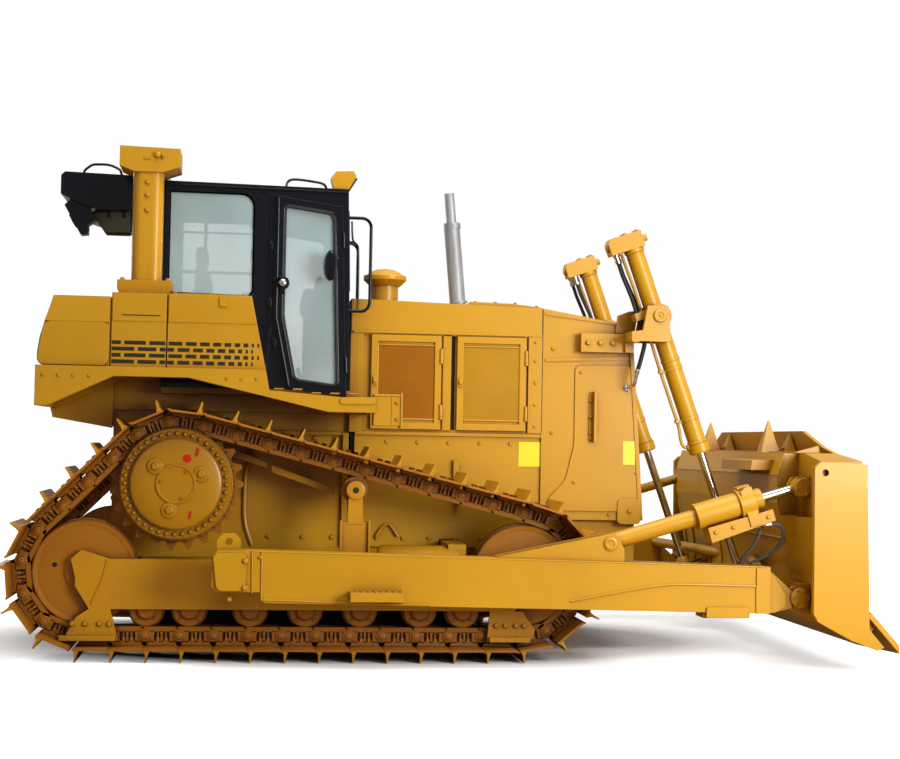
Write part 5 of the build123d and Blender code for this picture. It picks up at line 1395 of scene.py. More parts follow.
    @staticmethod
    def inset(outline: Sequence[Point], distance: float) -> Spots:
        """Move a convex outline's sides inwards.

        Args:
            outline: Corners in order.
            distance: How far the sides move.

        Returns:
            The new outline.
        """
        points = [Vector(p) for p in outline]
        area = sum(a.x * b.y - b.x * a.y for a, b in zip(points, points[1:] + points[:1]))
        sign = 1.0 if area > 0 else -1.0
        made = []
        for index, corner in enumerate(points):
            before, after = points[index - 1], points[(index + 1) % len(points)]
            one, two = (corner - before).normalized(), (after - corner).normalized()
            n1, n2 = Vector((-one.y, one.x)) * sign, Vector((-two.y, two.x)) * sign
            made.append(tuple(corner + (n1 + n2) * (distance / (1.0 + n1.dot(n2)))))
        return made

    def outside(self) -> None:
        """Roof rails, grab rails' inner bars, bolt heads and drip rails."""
        form = Form()
        form.flat_pipe(700, [(-1065, 3118), (-1052, 3158), (-1010, 3176), (-900, 3168), (-815, 3152),
                             (-789, 3118)], 9, 8)
        form.flat_pipe(560, [(-2420, 3180), (-2414, 3207), (-2374, 3241), (-2344, 3250), (-2256, 3250),
                             (-2194, 3227), (-2175, 3208), (-2168, 3176)], 9, 8)
        form.flat_pipe(715, [(-615, 2902), (-607, 2780), (-580, 2745), (-567, 2690), (-564, 2370),
                             (-569, 2284)], 7, 8)
        form.rod((self.front_x(2760) - 2, 715, 2762), (-600, 715, 2762), 7, 8)
        form.prism([(-1862, 3098), (self.front_high[0], 3082), (self.front_high[0], 3096), (-1862, 3112)],
                   self.half, self.half + 12)
        form.prism([(-1220, 1752), (-1180, 1752), (-1140, 2200), (-1140, 3060), (-1168, 3064), (-1168, 2210)],
                   self.half, self.half + 9)
        form.bolts(self.half, ((-1240, 3030), (-1800, 3088), (-1500, 3084), (-1198, 2180), (-1198, 1980),
                               (-1206, 1800)), 18, 6)
        form.mirrored().piece("cab_rails", LACQUER, edge_mm=3)

    def lamps(self) -> None:
        """Lenses and rims of the roof lamps and of the rear lamp."""
        lens, rim = Form(), Form()
        # front face of the roof lamps, then the rear face of the single rear lamp
        for low, high, y, size, pair in (((-640, 3118), (-586, 3204), 665.0, 42, True),
                                         ((-2540, 2967), (-2430, 2771), -525.0, 40, False)):
            normal = Vector((high[1] - low[1], 0, low[0] - high[0])).normalized()
            middle = Vector(((low[0] + high[0]) / 2, y, (low[1] + high[1]) / 2))
            lens.lathe(middle - normal * 3, normal, [(0, size), (7, size), (12, size * 0.7)], 28)
            rim.lathe(middle - normal * 3, normal, [(0, size + 10), (10, size + 10), (10, size + 1),
                                                    (2, size + 1)], 28)
            if pair:
                lens.mirrored()
                rim.mirrored()
        lens.piece("lamp_lenses", LENS, smooth_deg=50)
        rim.piece("lamp_rims", SEAL)

    def roof_unit(self) -> None:
        """Louvres, lid seams and bolts of the unit behind the roof."""
        form = Form()
        form.prism([(-2525, 3188), (-1900, 3173), (-1900, 3179), (-2520, 3195)], -520, 520)
        for y in range(-480, 481, 240):
            form.bolt((-2480, y, 3192), UP, 20, 5)
            form.bolt((-2080, y, 3182), UP, 20, 5)
        for z in range(3058, 3131, 24):
            form.block((-2571, -420, z), (-2562, 420, z + 12))
        form.piece("roof_unit_trim", LACQUER, edge_mm=2)
        # moulded cover of the filter box, with its catches
        cover = [(-2367, 2933), (-2279, 2800), (-2109, 2803), (-2109, 2945), (-2322, 2937)]
        Form().prism(cover, -513, -327).piece("filter_cover", OLIVE, edge_mm=4)
        catches = Form()
        for x in (-2250.0, -2150.0):
            catches.block((x - 12, -518, 2900), (x + 12, -511, 2950))
        catches.block((-2272, -470, 2794), (-2116, -370, 2801))
        catches.piece("filter_catches", SEAL, edge_mm=2)

    def seat(self) -> None:
        """Seat with a base, arm rests and upholstered cushions."""
        seat_z = self.floor_z + 300
        base = Cushion("seat_cushion", (-1556, -236, seat_z + 20), (-1064, 236, seat_z + 140)).build()
        Cushion("seat_back", (-1655, -232, seat_z + 110), (-1545, 232, seat_z + 560), 20.0).build(-4.0)
        Cushion("head_rest", (-1668, -150, seat_z + 575), (-1590, 150, seat_z + 715), 14.0, 8).build(-4.0)
        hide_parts("seat")
        stand = Form()
        stand.prism(rounded([(-1500, self.floor_z), (-1140, self.floor_z), (-1180, seat_z - 40),
                             (-1100, seat_z + 18), (-1540, seat_z + 18), (-1460, seat_z - 40)], 26), -160,
                    160)
        stand.block((-1672, -200, seat_z + 60), (-1652, 200, seat_z + 560))
        for y in (-90, 90):
            stand.rod((-1640, y, seat_z + 540), (-1632, y, seat_z + 600), 8, 10)
        stand.piece("seat_frame", TRIM, edge_mm=5)
        arms = Form()
        for y in (-300.0, 300.0):
            arms.prism(rounded([(-1560, seat_z + 60), (-1160, seat_z + 60), (-1140, seat_z + 215),
                                (-1180, seat_z + 235), (-1560, seat_z + 225)], 24), y - 45, y + 45)
            arms.block((-1500, y - 40, self.floor_z), (-1240, y + 40, seat_z + 70))
        arms.piece("arm_consoles", TRIM, edge_mm=8)

    def controls(self) -> None:
        """Levers, pedals, display, side panels and floor mat."""
        seat_z = self.floor_z + 300
        form = Form()
        for x, y, lean in ((-1230, -300, 30), (-1300, -320, -20), (-1230, 300, 20), (-1190, 270, -26)):
            form.rod((x, y, seat_z + 225), (x + lean, y, seat_z + 330), 8, 10)
            form.lathe((x + lean, y, seat_z + 320), (lean * 0.2, 0, 60),
                       [(0, 14), (14, 24), (52, 22), (66, 10)], 18)
        for y in (-170.0, -60.0, 120.0):
            form.prism([(-905, self.floor_z + 40), (-885, self.floor_z + 40), (-935, self.floor_z + 175),
                        (-955, self.floor_z + 170)], y - 38, y + 38)
        form.piece("levers_pedals", SEAL, edge_mm=2)
        top = self.floor_z + 600
        dash = Form()
        dash.prism(rounded([(-925, top - 20), (-720, top - 20), (-716, top + 50), (-880, top + 130),
                            (-925, top + 110)], 18), -320, 320)
        dash.prism(rounded([(-700, 1790), (-690, 1790), (-690, 2350), (-700, 2350)], 4), -640, 640)
        dash.piece("dash_cowl", TRIM, edge_mm=6)
        dials = Form()
        for y in (-200.0, -80.0, 40.0, 160.0):
            dials.lathe((-917, y, top + 60), (-1, 0, 0.25), [(0, 40), (9, 40), (12, 34)], 24)
        dials.piece("dials", SEAL)
        Form().block((-1790, -680, self.floor_z), (-700, 680, self.floor_z + 8)).piece("floor_mat", RUBBER)
        lining = Form().block((-1800, -688, 3040), (-700, 688, 3054))
        lining.block((-1800, -640, 1760), (-1790, 640, 2400))
        lining.piece("head_lining", TRIM)


# ---------------------------------------------------------------- lift linkage
@dataclass
class LiftLinkage:
    """Lift cylinders in their yokes: heads, fittings, steel lines, caps and bolts."""

    plane_y: float = 770.0
    yoke_pin: tuple[float, float] = (1484.0, 2306.0)
    rod_pin: tuple[float, float] = (2150.0, 420.0)
    above: float = 490.0
    head: float = 112.0
    below: float = 975.0
    cheek_out: float = 118.0

    def build(self) -> None:
        """Dress the linkage and add both sides' details."""
        dress([*both("lift_barrel"), "lift_yokes"], ENAMEL)
        dress(both("lift_rod"), CHROME)
        dress(both("lift_hoses"), RUBBER)
        for side in Side:
            self.head_trim(side)
            self.lines(side)
            self.rod_trim(side)
        self.yoke_trim()
        log.info("lift linkage: two cylinders")

    def spot(self, distance: float, aside: float = 0.0, across: float = 0.0) -> Vector:
        """Point by the cylinder's axis: distance down from the yoke pin, rearwards, and sideways."""
        angle = math.atan2(self.rod_pin[1] - self.yoke_pin[1], self.rod_pin[0] - self.yoke_pin[0])
        return Vector((self.yoke_pin[0] + distance * math.cos(angle) + aside * math.sin(angle),
                       self.plane_y + across,
                       self.yoke_pin[1] + distance * math.sin(angle) - aside * math.cos(angle)))

    def head_trim(self, side: Side) -> None:
        """Bolts, plugs and fittings of the barrel's head, the gland, the bands and the clips.

        Args:
            side: Side of the cylinder.
        """
        body = f"lift_barrel_{side.label}"
        axis = self.spot(1) - self.spot(0)
        rear = self.spot(0, 1) - self.spot(0)
        form = Form()
        top = -self.above - self.head
        for aside, across in ((-48, -44), (-48, 44), (40, -44), (40, 44), (120, -44), (120, 44)):
            form.bolt(self.spot(top + (18 if aside > 100 else 0), aside, across), -axis, 26, 10)
        form.lathe(self.spot(top + 58, -70), -rear, [(0, 30), (16, 30), (22, 25), (40, 25), (44, 20)], 24)
        form.lathe(self.spot(top + 58, 170), rear, [(0, 26), (12, 26), (16, 20)], 6)
        for low, high, radius in ((-self.above - 4, -self.above + 26, 70),
                                  (self.below - 84, self.below - 58, 68),
                                  (self.below - 6, self.below + 8, 66), (300, 322, 66.5)):
            form.lathe(self.spot(low), axis, [(0, radius - 2), (3, radius), (high - low - 3, radius),
                                              (high - low, radius - 2)], 44)
        for aside, across in circle((0, 0), 52, 8):
            form.bolt(self.spot(self.below - 1, aside, across), axis, 17, 8)
        # lugs and screws of the hose clamp on the trunnion block, and of the line's clips
        for across in (-42, 0, 42):
            form.bolt(self.spot(-66, 100 + 18 * (across == 0), across), -axis, 20, 9)
        for low in (360, 720):
            form.lathe(self.spot(low), axis, [(0, 66), (24, 66)], 44)
            middle = self.spot(low + 12, 78)
            form.block((middle.x - 26, middle.y - 20, middle.z - 12),
                       (middle.x + 26, middle.y + 20, middle.z + 12))
        form.side_piece(side, "lift_trim", ENAMEL, body, edge_mm=2)
        fittings = Form()
        for aside, across in ((140, 30), (118, -30)):
            foot = self.spot(-self.above, aside, across)
            fittings.lathe(foot, axis, [(0, 22), (14, 22), (14, 17), (34, 17), (38, 20), (64, 20),
                                        (66, 16)], 12)
        fittings.side_piece(side, "lift_fittings", CHROME, body)

    def lines(self, side: Side) -> None:
        """Steel lines along the barrel, the hoses' tails and the short hose under the yoke.

        Args:
            side: Side of the cylinder.
        """
        body = f"lift_barrel_{side.label}"
        form = Form()
        upper = ((-self.above + 6, 92), (-self.above + 60, 92), (-330, 88), (-200, 84), (-60, 84))
        form.pipe([self.spot(low, aside, 4) for low, aside in upper], 11, 12, 4)
        lower = ((86, 84), (150, 86), (330, 90), (560, 90), (760, 90), (850, 104), (905, 100), (930, 66))
        form.pipe([self.spot(low, aside) for low, aside in lower], 11, 12, 5)
        form.lathe(self.spot(926, 56), self.spot(0, 1) - self.spot(0), [(0, 24), (20, 24), (26, 18)], 16)
        form.side_piece(side, "lift_lines", ENAMEL, body, smooth_deg=50)
        # the two hoses go on below their clamp to the pivot
        tails = Form()
        for across in (-28, 28):
            tails.pipe([self.spot(low, aside, across * share) for low, aside, share in (
                (-70, 128, 1), (-40, 124, 1), (0, 112, 1), (40, 94, 0.8))], 14, 12, 3)
        tails.side_piece(side, "hose_tails", RUBBER, body, smooth_deg=50)
        short = Form()
        y = self.plane_y - 30
        short.pipe([(1416, y, 2150), (1411, y, 2098), (1397, y, 2040), (1380, y, 1975),
                    (1366, y - 8, 1925)], 15, 12, 5)
        short.side_piece(side, "short_hose", RUBBER, smooth_deg=50)
        elbow = Form()
        elbow.pipe([(1369, y - 6, 1936), (1360, y - 10, 1890), (1352, y - 20, 1846), (1336, y - 70, 1822),
                    (1326, y - 142, 1818)], 12, 12, 5)
        elbow.lathe((1370, y - 5, 1944), (-0.2, 0, -1), [(0, 18), (30, 18), (33, 15)], 6)
        elbow.lathe((1326, y - 140, 1818), OUT, [(0, 26), (16, 26), (20, 18), (36, 18)], 6)
        elbow.side_piece(side, "guard_elbow", CHROME, smooth_deg=50)

    def rod_trim(self, side: Side) -> None:
        """Cast collar and cap plates of the rod's eye.

        Args:
            side: Side of the cylinder.
        """
        axis = self.spot(1) - self.spot(0)
        reach = (Vector(self.rod_pin) - Vector(self.yoke_pin)).length
        form = Form()
        form.lathe(self.spot(reach - 150), axis, [(0, 30), (20, 46), (80, 60)], 32)
        x, z = self.rod_pin
        for sign in (-1, 1):
            form.lathe((x, self.plane_y + sign * 34, z), (0, sign, 0), [(0, 82), (3, 80)], 40)
        form.side_piece(side, "rod_collar", ENAMEL, f"lift_rod_{side.label}")

    def yoke_trim(self) -> None:
        """Pin caps, the pad's bolts and the bosses of the yokes."""
        form = Form()
        x, z = self.yoke_pin
        for sign in (-1, 1):
            face = self.plane_y + sign * self.cheek_out
            form.lathe((x, face - sign * 1, z), (0, sign, 0), [(0, 46), (10, 46), (16, 40), (16, 26),
                                                               (12, 22)], 32)
            form.lathe((x, face + sign * 10, z), (0, sign, 0), [(0, 8), (6, 8)], 12)
        # pad that bolts the yoke to the guard, with rounded ends
        pad = arc((1034, 2118), 52, 90, 270, 8) + [(1290, 2066), (1290, 2170)]
        form.prism(pad, 600, 640)
        form.bolts(670, [(bx, 2125) for bx in (1034, 1120, 1206)], 34, 14)
        form.prism([(1288, 2128), (1350, 2128), (1350, 2060), (1290, 2060)], 600, 700)
        form.block((1296, 640, 2122), (1344, self.plane_y + self.cheek_out, 2132))
        # the bracket's arm reaches over the guard's shoulder
        form.prism([(1236, 2200), (1340, 2192), (1372, 2205), (1395, 2360), (1330, 2352), (1250, 2320)],
                   604, 622)
        form.mirrored().piece("yoke_trim", ENAMEL, edge_mm=3)


# ---------------------------------------------------------------- dozer
@dataclass
class Dozer:
    """Push arms, tilt cylinder, brace and blade with their castings, bolts and hoses."""

    arm_mid: float = 1450.0
    arm_out: float = 1560.0
    blade_half: float = 1750.0
    wing_y: float = 1300.0
    wing_forward: float = 105.0
    trunnion: tuple[float, float] = (-1352.0, 563.0)
    tilt_rear: tuple[float, float] = (1020.0, 795.0)
    tilt_front: tuple[float, float] = (2285.0, 1171.0)
    ball_z: float = 455.0
    face_low: tuple[float, float] = (2600.0, 290.0)
    edge_slope_deg: float = 48.0

    def build(self) -> None:
        """Dress the dozer's nodes and add their details."""
        dress(["push_arms", "blade", "cutting_edge", "tilt_cylinder", "tilt_brace", "diagonal_braces"],
              ENAMEL)
        self.arm_trim()
        self.tilt_trim()
        self.tilt_hoses()
        self.joint_caps()
        self.blade_back()
        self.blade_face()
        self.edge_bolts()
        log.info("dozer: blade and two push arms")

    def tilt(self, distance: float, aside: float = 0.0, across: float = 0.0) -> Vector:
        """Point by the tilt cylinder's axis, measured from its rear pin, up and sideways."""
        (x0, z0), (x1, z1) = self.tilt_rear, self.tilt_front
        angle = math.atan2(z1 - z0, x1 - x0)
        return Vector((x0 + distance * math.cos(angle) - aside * math.sin(angle), self.arm_mid + across,
                       z0 + distance * math.sin(angle) + aside * math.cos(angle)))

    def arm_trim(self) -> None:
        """Weld beads, front casting, wear pad and caps of the push arms."""
        form = Form()
        out = self.arm_out
        for route in ([(760, 432), (1079, 493), (1395, 541), (1700, 541), (1964, 536)],
                      [(1966, 536), (1968, 366)], [(-1175, 428), (-650, 415), (-128, 404)],
                      [(-1236, 728), (-1232, 470)], [(-1176, 722), (-1174, 432)]):
            form.flat_pipe(out + 1, route, 7, 6, 3)
        form.prism([(1966, 362), (2058, 362), (2058, 656), (1966, 650)], out - 1, out + 8)
        form.prism(rounded(box(1640, 334, 1915, 402), 12), out - 22, out + 10)
        # rib beside the front casting, bevelled to the ball's neck
        form.prism([(2058, 366), (2096, 366), (2170, 404), (2170, 486), (2058, 640)], out - 38, out - 20)
        form.flat_pipe(out - 2, [(-1232, 726), (2050, 657)], 5, 6)
        # cap plate over the trunnion, its bolts, and the flange seams of the arm's rear casting
        cap = [(-1474, 695), (-1451, 500), (-1426, 482), (-1274, 483), (-1267, 697), (-1290, 714),
               (-1450, 714)]
        form.prism(rounded(cap, 14, 3), out - 1, out + 17)
        for bx, bz, size in ((-1276, 667, 30), (-1278, 503, 30), (-1370, 430, 24), (-1185, 690, 20)):
            form.bolt((bx, out + (16 if bx > -1300 and bx < -1200 else 0), bz), OUT, size, 12)
        for bx in (-590.0, -465.0, -340.0):
            form.block((bx - 6, out, 434), (bx + 6, out + 104, 482))
        for bx in range(-600, -310, 40):
            form.block((bx, out + 6, 485), (bx + 16, out + 104, 491))
        form.mirrored().piece("arm_trim", ENAMEL, Body.DOZER, edge_mm=2)

    def tilt_trim(self) -> None:
        """Flanges, bolts, ribs and pin caps of the tilt cylinder and of the brace."""
        axis = self.tilt(1) - self.tilt(0)
        up = self.tilt(0, 1) - self.tilt(0)
        for side, name in ((Side.RIGHT, "tilt_cylinder_trim"), (Side.LEFT, "tilt_brace_trim")):
            form = Form()
            for x, z, out in (self.tilt_rear + (86.0,), self.tilt_front + (76.0,)):
                for sign in (-1, 1):
                    form.lathe((x, self.arm_mid + sign * (out - 2), z), (0, sign, 0),
                               [(0, 44), (8, 44), (12, 38), (12, 24), (8, 20)], 32)
            x, z = self.tilt_front
            form.lathe((x, self.arm_mid + 76, z), OUT, [(0, 62), (6, 62), (12, 56)], 36)
            form.bolts(self.arm_mid + 86, circle((x, z), 50, 4, 20), 18, 7)
            if side is Side.RIGHT:
                for low, high, radius in ((594, 612, 88), (884, 900, 101), (980, 994, 96), (1040, 1050, 66)):
                    form.lathe(self.tilt(low), axis, [(0, radius - 3), (3, radius), (high - low - 3, radius),
                                                      (high - low, radius - 3)], 48)
                for aside, across in circle((0, 0), 84, 8, math.degrees(0.2)):
                    form.bolt(self.tilt(985, aside, across), axis, 22, 12)
                # saddle that ties the head to the guard plate, and the plate's screws
                for across in (-62, 62):
                    cheek = ((905, 84), (945, 104), (985, 100), (985, -150), (915, -150))
                    form.sheet([self.tilt(low, high, across) for low, high in cheek],
                               (0, 22 if across > 0 else -22, 0))
                form.sheet([self.tilt(low, 96, across) for low, across in box(900, -40, 985, 40)], up * 16)
                for low in (680, 800, 1040):
                    form.bolt(self.tilt(low, -120, 75), OUT, 22, 8)
                form.lathe(self.tilt(1010, -84, 0), -up, [(0, 26), (20, 26), (26, 18)], 16)
            else:
                form.lathe(self.tilt(860), axis, [(0, 62), (6, 70), (60, 70), (66, 62)], 12)
                for aside, across in ((64, 0), (0, 64)):
                    form.rod(self.tilt(560, aside, across), self.tilt(560, -aside, -across), 15, 12)
                for low in range(935, 1150, 14):
                    form.lathe(self.tilt(low), axis, [(0, 36.2), (5, 40), (10, 36.2)], 28)
            form.on_side(side).piece(name, ENAMEL, Body.DOZER, edge_mm=2)
        sleeve = Form().lathe(self.tilt(1049), axis, [(0, 30), (200, 30)], 36)
        sleeve.on_side(Side.RIGHT).piece("tilt_rod_sleeve", CHROME, Body.DOZER)

    def tilt_hoses(self) -> None:
        """Braided hoses from the tilt cylinder down behind the arm and across the blade."""
        y = self.arm_mid
        hoses = Form()
        hoses.pipe([(2062, y + 30, 930), (2100, y + 32, 930), (2142, y + 30, 922), (2172, y + 20, 880),
                    (2160, y - 10, 800), (2100, y - 60, 728), (2010, y - 112, 672), (1990, y - 200, 640),
                    (2060, y - 400, 660)], 12, 12, 5)
        hoses.pipe([(2030, y - 10, 905), (2018, y - 20, 850), (1990, y - 50, 780), (1944, y - 90, 708),
                    (1930, y - 130, 664), (1960, y - 240, 620), (2040, y - 420, 630)], 12, 12, 5)
        hoses.on_side(Side.RIGHT).piece("tilt_hoses", BRAID, Body.DOZER, smooth_deg=50)
        ends = Form()
        ends.lathe((2044, y + 30, 930), AHEAD, [(0, 20), (20, 20), (24, 15), (40, 15)], 6)
        ends.lathe((2034, y - 8, 924), (-0.3, 0, -1), [(0, 20), (20, 20), (24, 15), (36, 15)], 6)
        ends.on_side(Side.RIGHT).piece("tilt_fittings", CHROME, Body.DOZER)

    def joint_caps(self) -> None:
        """Ball caps at the arms' front ends and the lift eyes' pin plates."""
        form = Form()
        for sign in (-1, 1):
            face = self.arm_mid + sign * 78
            form.lathe((2268, face, self.ball_z + 6), (0, sign, 0),
                       [(0, 66), (16, 66), (24, 58), (30, 36), (30, 14)], 36)
            for bx, bz in circle((2268, self.ball_z + 6), 50, 6):
                form.bolt((bx, face + sign * 18, bz), (0, sign, 0), 20, 9)
        # cap strap round the ball, seen from behind
        form.prism(box(2222, self.ball_z - 84, 2238, self.ball_z + 84), self.arm_mid - 74, self.arm_mid + 74)
        for z in (self.ball_z - 66, self.ball_z + 66):
            for y in (self.arm_mid - 54, self.arm_mid + 54):
                form.bolt((2222, y, z), BACK, 28, 14)
        form.lathe((2200, self.arm_mid, self.ball_z), AHEAD, [(0, 46), (20, 62), (40, 64)], 32)
        for sign in (-1, 1):
            face = 770 + sign * 71
            form.lathe((2150, face, 420), (0, sign, 0), [(0, 50), (9, 50), (12, 46)], 32)
            for x in (2184, 2116):
                form.bolt((x, face + sign * 8, 420), (0, sign, 0), 18, 7)
        form.mirrored().piece("joint_caps", ENAMEL, Body.DOZER, edge_mm=2)

    def blade_back(self) -> None:
        """Ribs, seams and ledge behind the blade."""
        form = Form()
        for y in (260.0, 560.0, 1010.0, 1240.0):
            form.prism([(2246, 842), (2194, 1056), (2194, 1246), (2238, 1384), (2250, 1384), (2206, 1246),
                        (2206, 1056), (2258, 842)], y - 10, y + 10)
            form.prism([(2279, 602), (2245, 836), (2232, 836), (2266, 596), (2268, 360), (2281, 360)],
                       y - 10, y + 10)
        form.prism([(2230, 828), (2250, 842), (2262, 842), (2242, 816)], -1290, 1290)
        form.prism([(2186, 1240), (2194, 1240), (2240, 1388), (2232, 1392)], -1290, 1290)
        form.prism([(2300, 1388), (2300, 1398), (2490, 1398), (2490, 1388)], -1290, 1290)
        form.piece("blade_ribs", ENAMEL, Body.DOZER, edge_mm=2)
        ends = Form()
        for y in (720.0, 1290.0):
            ends.prism([(2300, 1392), (2470, 1392), (2462, 1440), (2330, 1404)], y - 12, y + 12)
        # raised rim of the lifting hole
        ends.skin([ends.loop((x, self.blade_half - sunk, z) for x, z in circle((2350, 1270), radius, 20))
                   for sunk, radius in ((4, 34), (0.4, 34), (0.4, 23), (4, 23))], closed=True)
        ends.mirrored().piece("blade_end_trim", ENAMEL, Body.DOZER, edge_mm=2)

    def blade_face(self) -> None:
        """Weld seams down the mouldboard where its plates meet."""
        chord = [(2600, 290), (2418, 822), (2525, 1370)]
        form = Form()
        for y in (0.0, 640.0, -640.0, 1298.0, -1298.0):
            form.flat_pipe(y, [(x + 1, z) for x, z in self.face_curve(chord)], 5, 6, 1)
        form.piece("mouldboard_seams", ENAMEL, Body.DOZER)

    @staticmethod
    def face_curve(chord: Sequence[Point]) -> Spots:
        """Arc of the mouldboard.

        Args:
            chord: Its lower end, a point between and its upper end.

        Returns:
            The arc's points.
        """
        (ax, az), (bx, bz), (cx, cz) = chord
        d = 2 * (ax * (bz - cz) + bx * (cz - az) + cx * (az - bz))
        aa, bb, cc = (Vector(point).length_squared for point in chord)
        ux = (aa * (bz - cz) + bb * (cz - az) + cc * (az - bz)) / d
        uz = (aa * (cx - bx) + bb * (ax - cx) + cc * (bx - ax)) / d
        radius = math.hypot(ax - ux, az - uz)
        start = math.degrees(math.atan2(az - uz, ax - ux)) % 360
        end = math.degrees(math.atan2(cz - uz, cx - ux)) % 360
        return arc((ux, uz), radius, start, end, 14)

    def edge_bolts(self) -> None:
        """Plough bolts and joints of the cutting edge and end bits."""
        slope = math.radians(self.edge_slope_deg)
        along = Vector((math.cos(slope), 0, -math.sin(slope)))
        out = Vector((math.sin(slope), 0, math.cos(slope)))
        bolts, nuts = Form(), Form()
        start = Vector((self.face_low[0], 0, self.face_low[1]))
        for y in [*range(60, int(self.wing_y), 150), *(self.wing_y + 90 + step * 150 for step in range(3))]:
            on_wing = y > self.wing_y
            lead = max(0.0, (y - self.wing_y) / (self.blade_half - self.wing_y)) * self.wing_forward
            for down in (-20, 60):
                back = start + along * down
                head = back + out * 31
                bolts.lathe((head.x + lead, y, head.z), out, [(0, 17), (2.5, 17), (4, 12)], 20)
                if down > 0 and not on_wing:
                    nuts.bolt((back.x, y, back.z), -out, 34, 16)
        bolts.mirrored().piece("edge_bolts", CORE, Body.DOZER)
        nuts.mirrored().piece("edge_nuts", CORE, Body.DOZER)
        gaps = Form()
        for y in (0.0, 1290.0):
            a, b = start + along * -108 + out * 31, start + along * 170 + out * 31
            gaps.sheet([(a.x, y - 2, a.z), (a.x, y + 2, a.z), (b.x, y + 2, b.z), (b.x, y - 2, b.z)],
                       out * 1.6)
        gaps.mirrored().piece("edge_joints", SEAL, Body.DOZER)


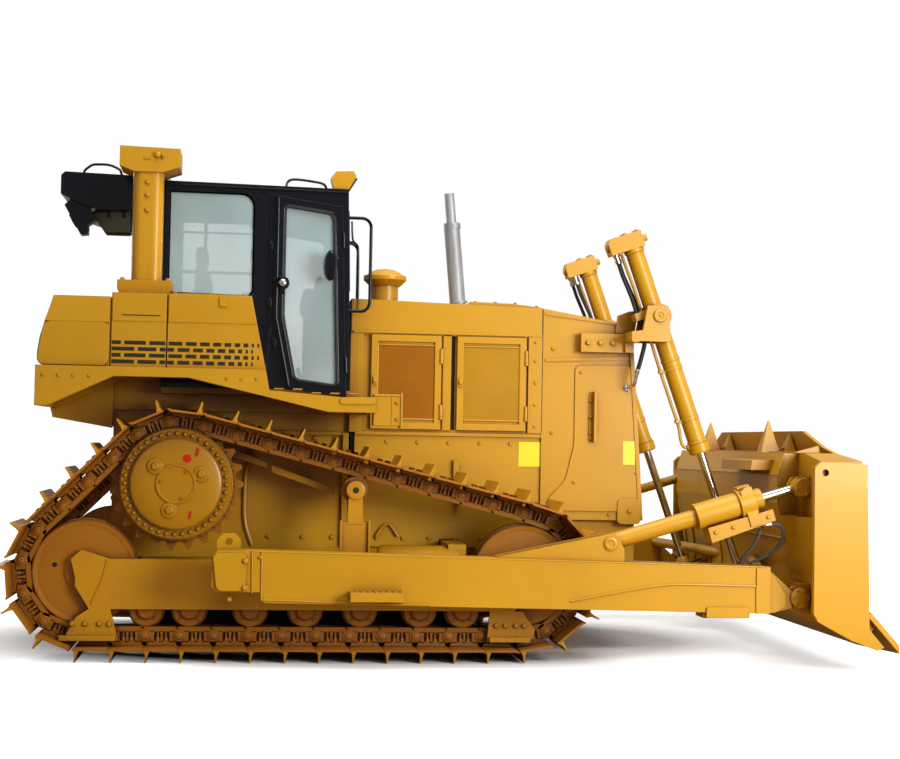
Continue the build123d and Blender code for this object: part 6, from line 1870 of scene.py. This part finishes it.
# ---------------------------------------------------------------- studio
@dataclass
class Studio:
    """Pale floor, soft lamps and the camera, in metres."""

    eye: tuple[float, float, float] = (-1.2372, -11.6700, 1.4142)
    yaw_deg: float = 6.819
    pitch_deg: float = 2.243
    roll_deg: float = -1.043
    lens_mm: float = 64.97
    floor_half: float = 60.0

    def build(self) -> None:
        """Set the stage, the lamps and the camera."""
        self.camera()
        self.floor()
        self.sky()
        self.lamp("key_softbox", (5.0, -7.0, 2.7), (1.0, -0.8, 0.9), 3.4, 600.0)
        self.lamp("overhead_softbox", (0.4, -1.9, 7.2), (1.4, 0.0, 1.0), 5.0, 380.0)
        self.lamp("rear_softbox", (-6.0, 5.5, 5.0), (-1.0, 0.0, 1.5), 5.0, 260.0)
        scene = bpy.context.scene
        scene.view_settings.view_transform = "Standard"
        log.info("studio ready")

    def camera(self) -> None:
        """Camera at the height of a standing person, beside the machine."""
        yaw, pitch, roll = (math.radians(a) for a in (self.yaw_deg, self.pitch_deg, self.roll_deg))
        ahead = Vector((math.sin(yaw) * math.cos(pitch), math.cos(yaw) * math.cos(pitch), math.sin(pitch)))
        level = Vector((math.cos(yaw), -math.sin(yaw), 0.0))
        raised = level.cross(ahead)
        right = level * math.cos(roll) - raised * math.sin(roll)
        up = level * math.sin(roll) + raised * math.cos(roll)
        data = bpy.data.cameras.new("camera")
        data.lens, data.sensor_width, data.clip_end = self.lens_mm, 36.0, 200.0
        made = placed("camera", data)
        made.matrix_world = Matrix.Translation(self.eye) @ Matrix((right, up, -ahead)).transposed().to_4x4()
        bpy.context.scene.camera = made

    def floor(self) -> None:
        """Large matt floor that keeps the object's shadow."""
        mesh = bpy.data.meshes.new("floor")
        half = self.floor_half
        mesh.from_pydata([(-half, -half, 0), (half, -half, 0), (half, half, 0), (-half, half, 0)], [],
                         [(0, 1, 2, 3)])
        paper = bpy.data.materials.new("studio_paper")
        paper.use_nodes = True
        tree = paper.node_tree
        tree.nodes.clear()
        seen = node(tree, "LightPath").outputs["Is Camera Ray"]
        # The eye sees white paper; the machine gets the weak warm bounce of a workshop floor.
        colour = node(tree, "Mix", {".data_type": "RGBA", 6: linear("#a8906a"), 7: linear("#ececea")},
                      {0: seen}).outputs[2]
        matt = node(tree, "BsdfDiffuse", links={"Color": colour})
        here = node(tree, "TexCoord").outputs["Object"]
        spread = node(tree, "VectorMath", {".operation": "LENGTH"}, {0: here}).outputs["Value"]
        reach = node(tree, "MapRange", {1: 2.5, 2: 14.0, 3: 0.55, 4: 1.0}, {0: spread})
        # No glow beneath the tracks and belly, so the ground there stays in their shadow.
        under = node(tree, "Mapping", {".vector_type": "TEXTURE", 1: (-0.45, 0.0, 0.0), 3: (2.35, 1.3, 1.0)},
                     {0: here})
        edge = node(tree, "VectorMath", {".operation": "LENGTH"}, {0: under}).outputs["Value"]
        open_floor = node(tree, "MapRange", {1: 0.95, 2: 1.25, 3: 0.0, 4: 1.0}, {0: edge})
        clear = node(tree, "Math", {".operation": "MULTIPLY"}, {0: open_floor, 1: reach})
        lift = node(tree, "Math", {".operation": "MULTIPLY"}, {0: seen, 1: clear})
        glow = node(tree, "Emission", {"Color": (1.0, 1.0, 1.0, 1.0)}, {"Strength": lift})
        sheet = node(tree, "AddShader", links={0: matt, 1: glow})
        node(tree, "OutputMaterial", links={"Surface": sheet})
        mesh.materials.append(paper)
        placed("floor", mesh)

    def sky(self) -> None:
        """Even white surroundings for the eye and for gloss, dimmer as light."""
        world = bpy.data.worlds.new("studio_world")
        bpy.context.scene.world = world
        world.use_nodes = True
        tree = world.node_tree
        tree.nodes.clear()
        rays = node(tree, "LightPath").outputs
        seen = node(tree, "Math", {".operation": "MAXIMUM"},
                    {0: rays["Is Camera Ray"], 1: rays["Is Transmission Ray"]})
        shine = node(tree, "Math", {".operation": "MULTIPLY", 1: 0.40}, {0: rays["Is Glossy Ray"]})
        bright = node(tree, "Math", {".operation": "MAXIMUM"}, {0: seen, 1: shine})
        strength = node(tree, "Math", {".operation": "MAXIMUM", 1: 0.34}, {0: bright})
        back = node(tree, "Background", {"Color": (1.0, 1.0, 1.0, 1.0)}, {"Strength": strength})
        node(tree, "OutputWorld", links={"Surface": back})

    def lamp(self, name: str, spot: Point, aim: Point, size: float, power: float) -> None:
        """Add one square softbox.

        Args:
            name: Name of the lamp.
            spot: Its place.
            aim: The point that it faces.
            size: Its side in metres.
            power: Its power in watts.
        """
        data = bpy.data.lights.new(name, "AREA")
        data.shape, data.size, data.energy = "SQUARE", size, power
        made = placed(name, data)
        made.location = spot
        made.rotation_euler = (Vector(aim) - Vector(spot)).to_track_quat("-Z", "Y").to_euler()


def main() -> None:
    """Build every sub-assembly in order, then the studio."""
    Studio().build()
    for part in (Track(), Wheels(), Chassis(), RearBody(), Cab(), LiftLinkage(), Dozer()):
        part.build()
        log.info("%s done", type(part).__name__)


if __name__ == "__main__":
    logging.basicConfig(level=logging.INFO, format="%(name)s: %(message)s")
    main()
